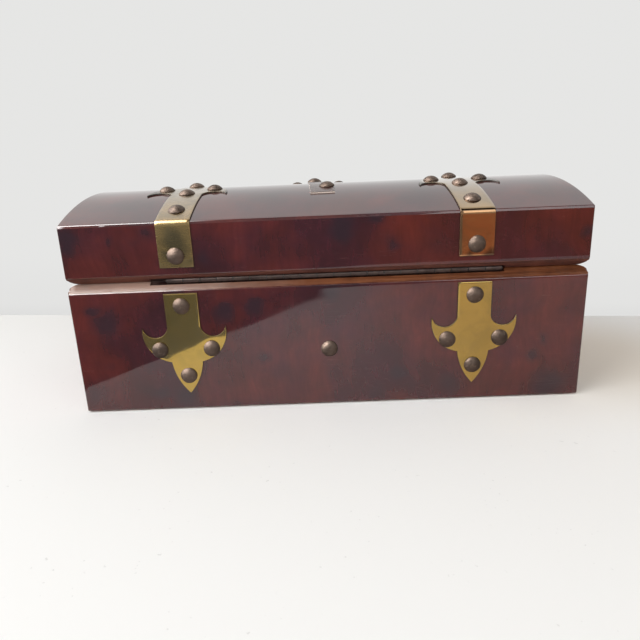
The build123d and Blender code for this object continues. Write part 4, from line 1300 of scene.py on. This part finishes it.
def make_mounts():
    """The anchor-shaped mounts on the base with their rivets, and the stud at the back."""
    rivets = mount_rivets(False)
    for side, label in LONG_SIDES:
        for end_side, end in ENDS:
            place = on_mount(end_side * STRAP_PLACE, side)
            seed = 61 + 2 * side + (end == "left")
            node = f"{label}_{end}"
            make_anchor("base", "mount", node, place, MOUNT_ROOT, MOUNT_TIP, rivets, seed, "mount_brass")
    place = on_mount(0.0, -1)
    plate = brass_plate("base_key_plate_face", place, MOUNT_ROOT, MOUNT_TIP, mount_rivets(True), 75)
    cut_keyhole(plate)
    settle(plate, "base", "brass_sheet", "mount_brass", "base_key_plate")
    cut_keyhole(bpy.data.objects["base_front_face"])
    rivet_node_heads("base_rivet_heads_key", place, mount_rivets(True), "base", 76, "base_rivets_front_key")
    place = on_mount(0.0, 1)
    stud = [(0.0, MOUNT_ARM - STUD_HEIGHT)]
    rivet_node_heads("base_back_stud_head", place, stud, "base", 77, "base_back_stud", lift=0.0)


def make_straps():
    """The lid straps folded over the long edges, and the centre strap, with their rivets."""
    for (side, label), arm in zip(LONG_SIDES, (FRONT_ARM, LID_ARM)):
        root = HALF_DEPTH - arm + LID_SIDE_TOP - LEG_LOW
        rivets = strap_rivets(root, arm)
        for end_side, end in ENDS:
            place = on_lid_strap(end_side * STRAP_PLACE, side, arm)
            seed = 81 + 2 * side + (end == "left")
            node = f"{label}_{end}"
            finish = "warm_brass" if node in ("back_left", "front_right") else "strap_brass"
            make_anchor("lid", "strap", node, place, root, LID_TIP, rivets, seed, finish)
    root = HALF_DEPTH + CENTRE_ARM + LID_SIDE_TOP - LEG_LOW
    fold = -HALF_DEPTH - CENTRE_ARM
    places = [
        (0.0, LEG_RIVET_RISE - root), (0.0, fold + FOLD_RIVET), (0.0, -STRAP_RIVET),
        (-ARM_RIVET, 0.0), (ARM_RIVET, 0.0), CENTRE_TIP_RIVET, TAIL_RIVET,
    ]
    plate = brass_plate("lid_centre_strap_plate", on_centre_strap, root, MOUNT_TIP, places, 95, tail=TAIL_END)
    settle(plate, "lid", "brass_sheet", "tail_brass", "lid_centre_strap")
    rivet_node_heads("lid_rivet_heads_centre", on_centre_strap, places, "lid", 96, "lid_rivets_centre")


def read_points(mesh):
    """A mesh's points as an array."""
    points = np.empty(len(mesh.vertices) * 3)
    mesh.vertices.foreach_get("co", points)
    return points.reshape(-1, 3)


def swell(piece, pinned):
    """Swells a pad by a cloth simulation under pressure, whose pinned points stay. No point
    moves more than QUILT_PUSH."""
    rest = read_points(piece.data)
    seam = piece.vertex_groups.new(name="seam")
    seam.add([int(point) for point in pinned if point < len(rest)], 1.0, "REPLACE")
    settings = piece.modifiers.new("swell", "CLOTH").settings
    settings.vertex_group_mass = "seam"
    settings.use_pressure = True
    settings.uniform_pressure_force = 4.0
    settings.tension_stiffness = 12.0
    settings.bending_stiffness = 0.4
    settings.effector_weights.gravity = 0.0
    settings.quality = 6
    scene = bpy.context.scene
    for step in range(1, SWELL_STEPS + 1):
        scene.frame_set(step)
    shift = read_points(evaluated(piece)) - rest
    length = np.linalg.norm(shift, axis=1, keepdims=True)
    shift *= np.minimum(1.0, QUILT_PUSH / np.maximum(length, 1e-9))
    piece.modifiers.clear()
    scene.frame_set(1)
    piece.data.vertices.foreach_set("co", (rest + shift).ravel())
    piece.data.update()


def quilt(name, place, half_x, half_y, thick):
    """A tufted pad: a slab pinched where a grid of tufts crosses, and swelled between them."""
    columns, rows = int(2 * half_x / QUILT_CELL), int(2 * half_y / QUILT_CELL)
    steps = (np.linspace(-half_x, half_x, columns), np.linspace(-half_y, half_y, rows))
    u, v = np.meshgrid(*steps, indexing="ij")
    across = np.sin(pi * (u + v) / QUILT_PITCH)
    along = np.sin(pi * (u - v) / QUILT_PITCH)
    line = np.minimum(np.abs(across), np.abs(along))
    tuft = np.hypot(across, along)
    border = np.minimum(half_x - np.abs(u), half_y - np.abs(v))
    pinch = 0.35 + 0.65 * np.clip(line * 3.0, 0, 1) ** 0.5
    full = thick * pinch * (0.45 + 0.55 * np.sqrt(np.clip(border / (4 * MM), 0, 1)))
    top = np.stack(place(u, v, full), axis=-1)
    bottom = np.stack(place(u, v, np.zeros_like(u)), axis=-1)
    piece = slab(name, top, bottom)
    held = (line.ravel() < 0.16) | (tuft.ravel() < 0.35) | (border.ravel() < 1.5 * MM)
    swell(piece, np.concatenate([np.flatnonzero(held), np.arange(u.size, 2 * u.size)]))
    return piece


def make_linings():
    """The padded silk in the lid and on the floor of the base."""
    low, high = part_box("base_floor_pad")
    ceiling = ARCH_RADIUS - LID_TOP_WALL - 0.3 * MM

    def under_arch(u, v, h):
        angle = np.arcsin(v / ceiling)
        radius = ceiling - h
        return u, radius * np.sin(angle), ARCH_CENTRE + radius * np.cos(angle)

    floor = quilt("base_silk_pad", lambda u, v, h: (u, v, low.z + h), high.x, high.y, high.z - low.z)
    settle(floor, "base", "silk", "padded_silk", "base_floor_pad")
    smooth_once(floor)
    lining = quilt("lid_silk_pad", under_arch, high.x, high.y, LID_PAD)
    settle(lining, "lid", "silk", "padded_silk", "lid_lining_pad")
    smooth_once(lining)


def smooth_once(piece):
    """One level of subdivision on a pad."""
    finer = piece.modifiers.new("smooth", "SUBSURF")
    finer.levels = 1
    finer.render_levels = 1


def finish_cad_nodes():
    """Materials for the construction's own meshes that stay in view."""
    finishes = {
        "hinge_leaf": "hinge_metal", "hinge_pin": "hinge_metal", "screws": "screw_metal",
        "wall_lining": "velvet_lining", "felt": "baize", "lock_case": "lock_brass",
        "lock_bolt": "lock_brass", "lock_selvedge": "lock_brass", "link_plate": "lock_brass",
        "bottom_board": "inner_wood",
    }
    for name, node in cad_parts.items():
        chosen = "lid_rim_wood" if name.startswith("lid_") else "base_rim_wood"
        for part, material in finishes.items():
            if part in name:
                chosen = material
        paint(node, chosen)


# Stage
def make_camera():
    """The camera at the photograph's place: its axes come from the fitted yaw, pitch and roll,
    turned half round because the photograph looks at the back of the box."""
    data = bpy.data.cameras.new("camera")
    data.sensor_width = SENSOR
    data.lens = SENSOR * FOCAL_PIXELS / FRAME_PIXELS
    data.clip_start = 0.01
    camera = linked("camera", data)
    forward = np.array([
        sin(CAMERA_YAW) * cos(CAMERA_PITCH), cos(CAMERA_YAW) * cos(CAMERA_PITCH), -sin(CAMERA_PITCH)
    ])
    level = np.array([cos(CAMERA_YAW), -sin(CAMERA_YAW), 0.0])
    upright = np.cross(level, forward)
    right = cos(CAMERA_ROLL) * level + sin(CAMERA_ROLL) * upright
    up = -sin(CAMERA_ROLL) * level + cos(CAMERA_ROLL) * upright
    half_turn = np.array([-1.0, -1.0, 1.0])
    axes = [axis * half_turn for axis in (right, up, -forward)]
    spot = (CAMERA_SIDE, HALF_DEPTH + CAMERA_BACK, CAMERA_HEIGHT)
    rows = [(*(float(axis[i]) for axis in axes), spot[i]) for i in range(3)]
    camera.matrix_world = Matrix(rows + [(0.0, 0.0, 0.0, 1.0)])
    bpy.context.scene.camera = camera


def stage_piece(name, points, faces):
    """A flat stage piece in the material of its name."""
    mesh = bpy.data.meshes.new(name)
    mesh.from_pydata(points, [], faces)
    mesh.materials.append(bpy.data.materials[name])
    piece = linked(name, mesh)
    return piece


def make_stage():
    """Pale floor, a pale wall behind that is clear from its back, a dim room that only
    reflections see, and soft lamps."""
    floor_material()
    wall_material()
    room_material()
    floor = [(x * STAGE_REACH, y * STAGE_REACH, 0.0) for x, y in ((-1, -1), (1, -1), (1, 1), (-1, 1))]
    stage_piece("stage_floor", floor, [range(4)])
    (right_x, right_y), (left_x, left_y) = WALL_LINE
    slope = (right_y - left_y) / (right_x - left_x)
    ends = [(x, right_y + slope * (x - right_x)) for x in (STAGE_REACH, -STAGE_REACH)]
    foot = [(*end, 0.0) for end in ends]
    head = [(*end, STAGE_REACH) for end in reversed(ends)]
    wall = stage_piece("stage_wall", foot + head, [range(4)])
    room = stage_room()
    for ray in ("diffuse", "transmission", "volume_scatter", "shadow"):
        for piece in (wall, room):
            setattr(piece, "visible_" + ray, False)
    room.visible_camera = False
    make_world()
    key_power = bpy.context.scene.box_stage.key_power
    lamp("key_light", (0.58, 0.44, 0.52), key_power)
    lamp("fill_light", (-0.45, 0.75, 0.45), key_power * 0.4)


def stage_room():
    """A flat sheet with the pale floor as its hole: each side of the hole joins the same
    points, moved out to ROOM_REACH."""
    inner = np.array(PALE_FLOOR)
    outer = inner / np.linalg.norm(inner, axis=1, keepdims=True) * ROOM_REACH
    flat = np.concatenate([inner, outer])
    points = np.column_stack([flat, np.full(len(flat), ROOM_LIFT)])
    faces = grid_quads(2, len(inner), wrap=True)[:, [0, 3, 2, 1]]
    return stage_piece("stage_room", points.tolist(), faces.tolist())


def floor_material():
    """Pale speckled floor with a painted warm shadow beside the box. In reflections it has a tint
    of its own, which turns browner towards -X."""
    colour = bpy.context.scene.box_stage.floor_colour
    shader, place = start_material("stage_floor")
    speck = mask(noise(place, 420.0, 2.0, 0.6), 0.68, 0.74, 0.55) * mask(noise(place, 45.0, 2.0), 0.46, 0.6)
    tint = mix(speck, colour, tinted(colour, 0.72))
    # A painted warm shadow to the -X side of the box.
    gap = vector_maths("DISTANCE", place, WARM_SHADOW_SPOT, output="Value")
    tint = mix(ramp(gap, (0.02, 0.8), (0.11, 0.0)), tint, WARM_SHADOW_FLOOR)
    mirrored = mix(mask(split(place)[0] * -1.0, 0.0, 0.12), MIRRORED_NEAR, MIRRORED_FAR)
    tint = mix(ray_is(place.tree, "Glossy"), tint, mirrored)
    feed(shader, Base_Color=tint, Roughness=0.9, Specular_IOR_Level=0.0)


def glow_material(name):
    """An emitting material: its emission node and its output node."""
    material = bpy.data.materials.new(name)
    material.use_nodes = True
    tree = material.node_tree
    tree.nodes.clear()
    glow = add(tree, "ShaderNodeEmission", {"Strength": 1.0})
    return glow, add(tree, "ShaderNodeOutputMaterial", {"Surface": Flow(glow.outputs[0])})


def wall_material():
    """The pale wall: its own colour to the camera, with a painted contact shade at its foot, a
    brighter one in reflections, and clear from the back."""
    pale = bpy.context.scene.box_stage.wall_colour
    glow, out = glow_material("stage_wall")
    tree = glow.id_data
    height = split(coordinates(tree))[2]
    # Darker within 6 cm of the floor: a painted contact shade.
    seen = mix(ramp(height, (0.0, 0.0), (0.012, 0.6), (0.06, 1.0)), tinted(pale, 0.93), pale)
    glossy = mix(mask(height, 0.15, 0.36), tinted(pale, 1.2), tinted(pale, ROOM_GLOSS))
    put(glow.inputs["Color"], mix(ray_is(tree, "Glossy"), seen, glossy))
    behind = Flow(add(tree, "ShaderNodeNewGeometry").outputs["Backfacing"])
    clear = Flow(add(tree, "ShaderNodeBsdfTransparent").outputs[0])
    put(out.inputs["Surface"], flow("ShaderNodeMixShader", {0: behind, 1: Flow(glow.outputs[0]), 2: clear}))


def room_material():
    """The dim room beyond the pale floor: grey, turning to warm brown towards -X."""
    glow, _ = glow_material("stage_room")
    across = split(coordinates(glow.id_data))[0]
    put(glow.inputs["Color"], mix(mask(across * -1.0, 0.12, 0.20), GREY_ROOM, WARM_ROOM))


def make_world():
    """Even light. Reflections see a pale wall that brightens upwards, and above that, by the
    angle about the X axis, a dim ceiling with a bright window on its +X side."""
    stage = bpy.context.scene.box_stage
    world = bpy.data.worlds.new("stage_world")
    bpy.context.scene.world = world
    world.use_nodes = True
    tree = world.node_tree
    tree.nodes.clear()
    pale = stage.wall_colour
    way = coordinates(tree, "Generated")
    x, _, z = split(way)
    low = mix(mask(z, 0.35, 0.75), pale, tinted(pale, ROOM_GLOSS))
    high = mix(mask(x, 0.18, 0.34), DIM_CEILING, tinted(pale, WINDOW_GLOSS))
    tilt = (0.0, sin(WINDOW_TILT), cos(WINDOW_TILT))
    lean = vector_maths("DOT_PRODUCT", tilt, way, output="Value")
    off_x = maths("SQRT", 1.0 - maths("POWER", x, 2.0))
    room = mix(mask(lean / off_x, 0.81, 0.87), low, high)
    camera = ray_is(tree, "Camera")
    colour = mix(camera, mix(ray_is(tree, "Glossy"), EVEN_LIGHT, room), pale)
    strength = (1.0 - camera) * stage.room_light + camera
    glow = add(tree, "ShaderNodeBackground", {"Color": colour, "Strength": strength})
    add(tree, "ShaderNodeOutputWorld", {"Surface": Flow(glow.outputs[0])})


def lamp(name, spot, power):
    """A square soft light at a spot, aimed at the middle of the box."""
    data = bpy.data.lights.new(name, "AREA")
    data.size = LAMP_SIZE
    data.energy = power
    data.color = LAMP_COLOUR
    light = linked(name, data)
    light.location = spot
    light.rotation_euler = (Vector(LAMP_AIM) - Vector(spot)).to_track_quat("-Z", "Y").to_euler()


# Operators
class BOX_OT_camera(bpy.types.Operator):
    """Place the camera at the photographed view."""

    bl_idname = "box.camera"
    bl_label = "Camera"

    def execute(self, context):
        make_camera()
        return {"FINISHED"}


class BOX_OT_finishes(bpy.types.Operator):
    """Make every material of the box."""

    bl_idname = "box.finishes"
    bl_label = "Finishes"

    def execute(self, context):
        make_materials()
        return {"FINISHED"}


class BOX_OT_cad_finishes(bpy.types.Operator):
    """Paint the construction's own boards, hinge, lock and linings."""

    bl_idname = "box.cad_finishes"
    bl_label = "Boards and metalwork"

    def execute(self, context):
        finish_cad_nodes()
        return {"FINISHED"}


class BOX_OT_base_veneers(bpy.types.Operator):
    """Make the four lacquered faces of the base."""

    bl_idname = "box.base_veneers"
    bl_label = "Base veneers"

    def execute(self, context):
        make_base_veneers()
        return {"FINISHED"}


class BOX_OT_lid_veneers(bpy.types.Operator):
    """Make the lacquered faces and the arched top of the lid."""

    bl_idname = "box.lid_veneers"
    bl_label = "Lid veneers"

    def execute(self, context):
        make_lid_veneers()
        return {"FINISHED"}


class BOX_OT_mounts(bpy.types.Operator):
    """Make the anchor-shaped mounts, the key plate and their rivets."""

    bl_idname = "box.mounts"
    bl_label = "Base mounts"

    def execute(self, context):
        make_mounts()
        return {"FINISHED"}


class BOX_OT_straps(bpy.types.Operator):
    """Make the folded straps and their rivets."""

    bl_idname = "box.straps"
    bl_label = "Lid straps"

    def execute(self, context):
        make_straps()
        return {"FINISHED"}


class BOX_OT_linings(bpy.types.Operator):
    """Make the tufted silk pads."""

    bl_idname = "box.linings"
    bl_label = "Padded linings"

    def execute(self, context):
        make_linings()
        return {"FINISHED"}


class BOX_OT_stage(bpy.types.Operator):
    """Make the floor, the backdrop and the lights."""

    bl_idname = "box.stage"
    bl_label = "Stage"

    def execute(self, context):
        make_stage()
        return {"FINISHED"}


OPERATORS = [
    BOX_OT_camera,
    BOX_OT_finishes,
    BOX_OT_cad_finishes,
    BOX_OT_base_veneers,
    BOX_OT_lid_veneers,
    BOX_OT_mounts,
    BOX_OT_straps,
    BOX_OT_linings,
    BOX_OT_stage,
]


class BOX_PT_panel(bpy.types.Panel):
    """Lists the making steps and the finish settings."""

    bl_idname = "BOX_PT_panel"
    bl_label = "Lacquered box"
    bl_space_type = "VIEW_3D"
    bl_region_type = "UI"
    bl_category = "Box"

    def draw(self, context):
        for made in OPERATORS:
            self.layout.operator(made.bl_idname)
        for group in (context.scene.box_finish, context.scene.box_brass, context.scene.box_stage):
            for name in group.bl_rna.properties.keys():
                if name not in ("rna_type", "name"):
                    self.layout.prop(group, name)


CLASSES = [BoxFinish, BoxBrass, BoxStage, *OPERATORS, BOX_PT_panel]


def register():
    """Registers the classes and hangs the settings on the scene."""
    for made in CLASSES:
        bpy.utils.register_class(made)
    bpy.types.Scene.box_finish = bpy.props.PointerProperty(type=BoxFinish)
    bpy.types.Scene.box_brass = bpy.props.PointerProperty(type=BoxBrass)
    bpy.types.Scene.box_stage = bpy.props.PointerProperty(type=BoxStage)


def unregister():
    """Undoes register."""
    del bpy.types.Scene.box_stage
    del bpy.types.Scene.box_brass
    del bpy.types.Scene.box_finish
    for made in reversed(CLASSES):
        bpy.utils.unregister_class(made)


def main():
    """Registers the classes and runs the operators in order."""
    register()
    bpy.context.scene.view_settings.view_transform = "Standard"
    for made in OPERATORS:
        group, step = made.bl_idname.split(".")
        getattr(getattr(bpy.ops, group), step)()


if __name__ == "__main__":
    main()
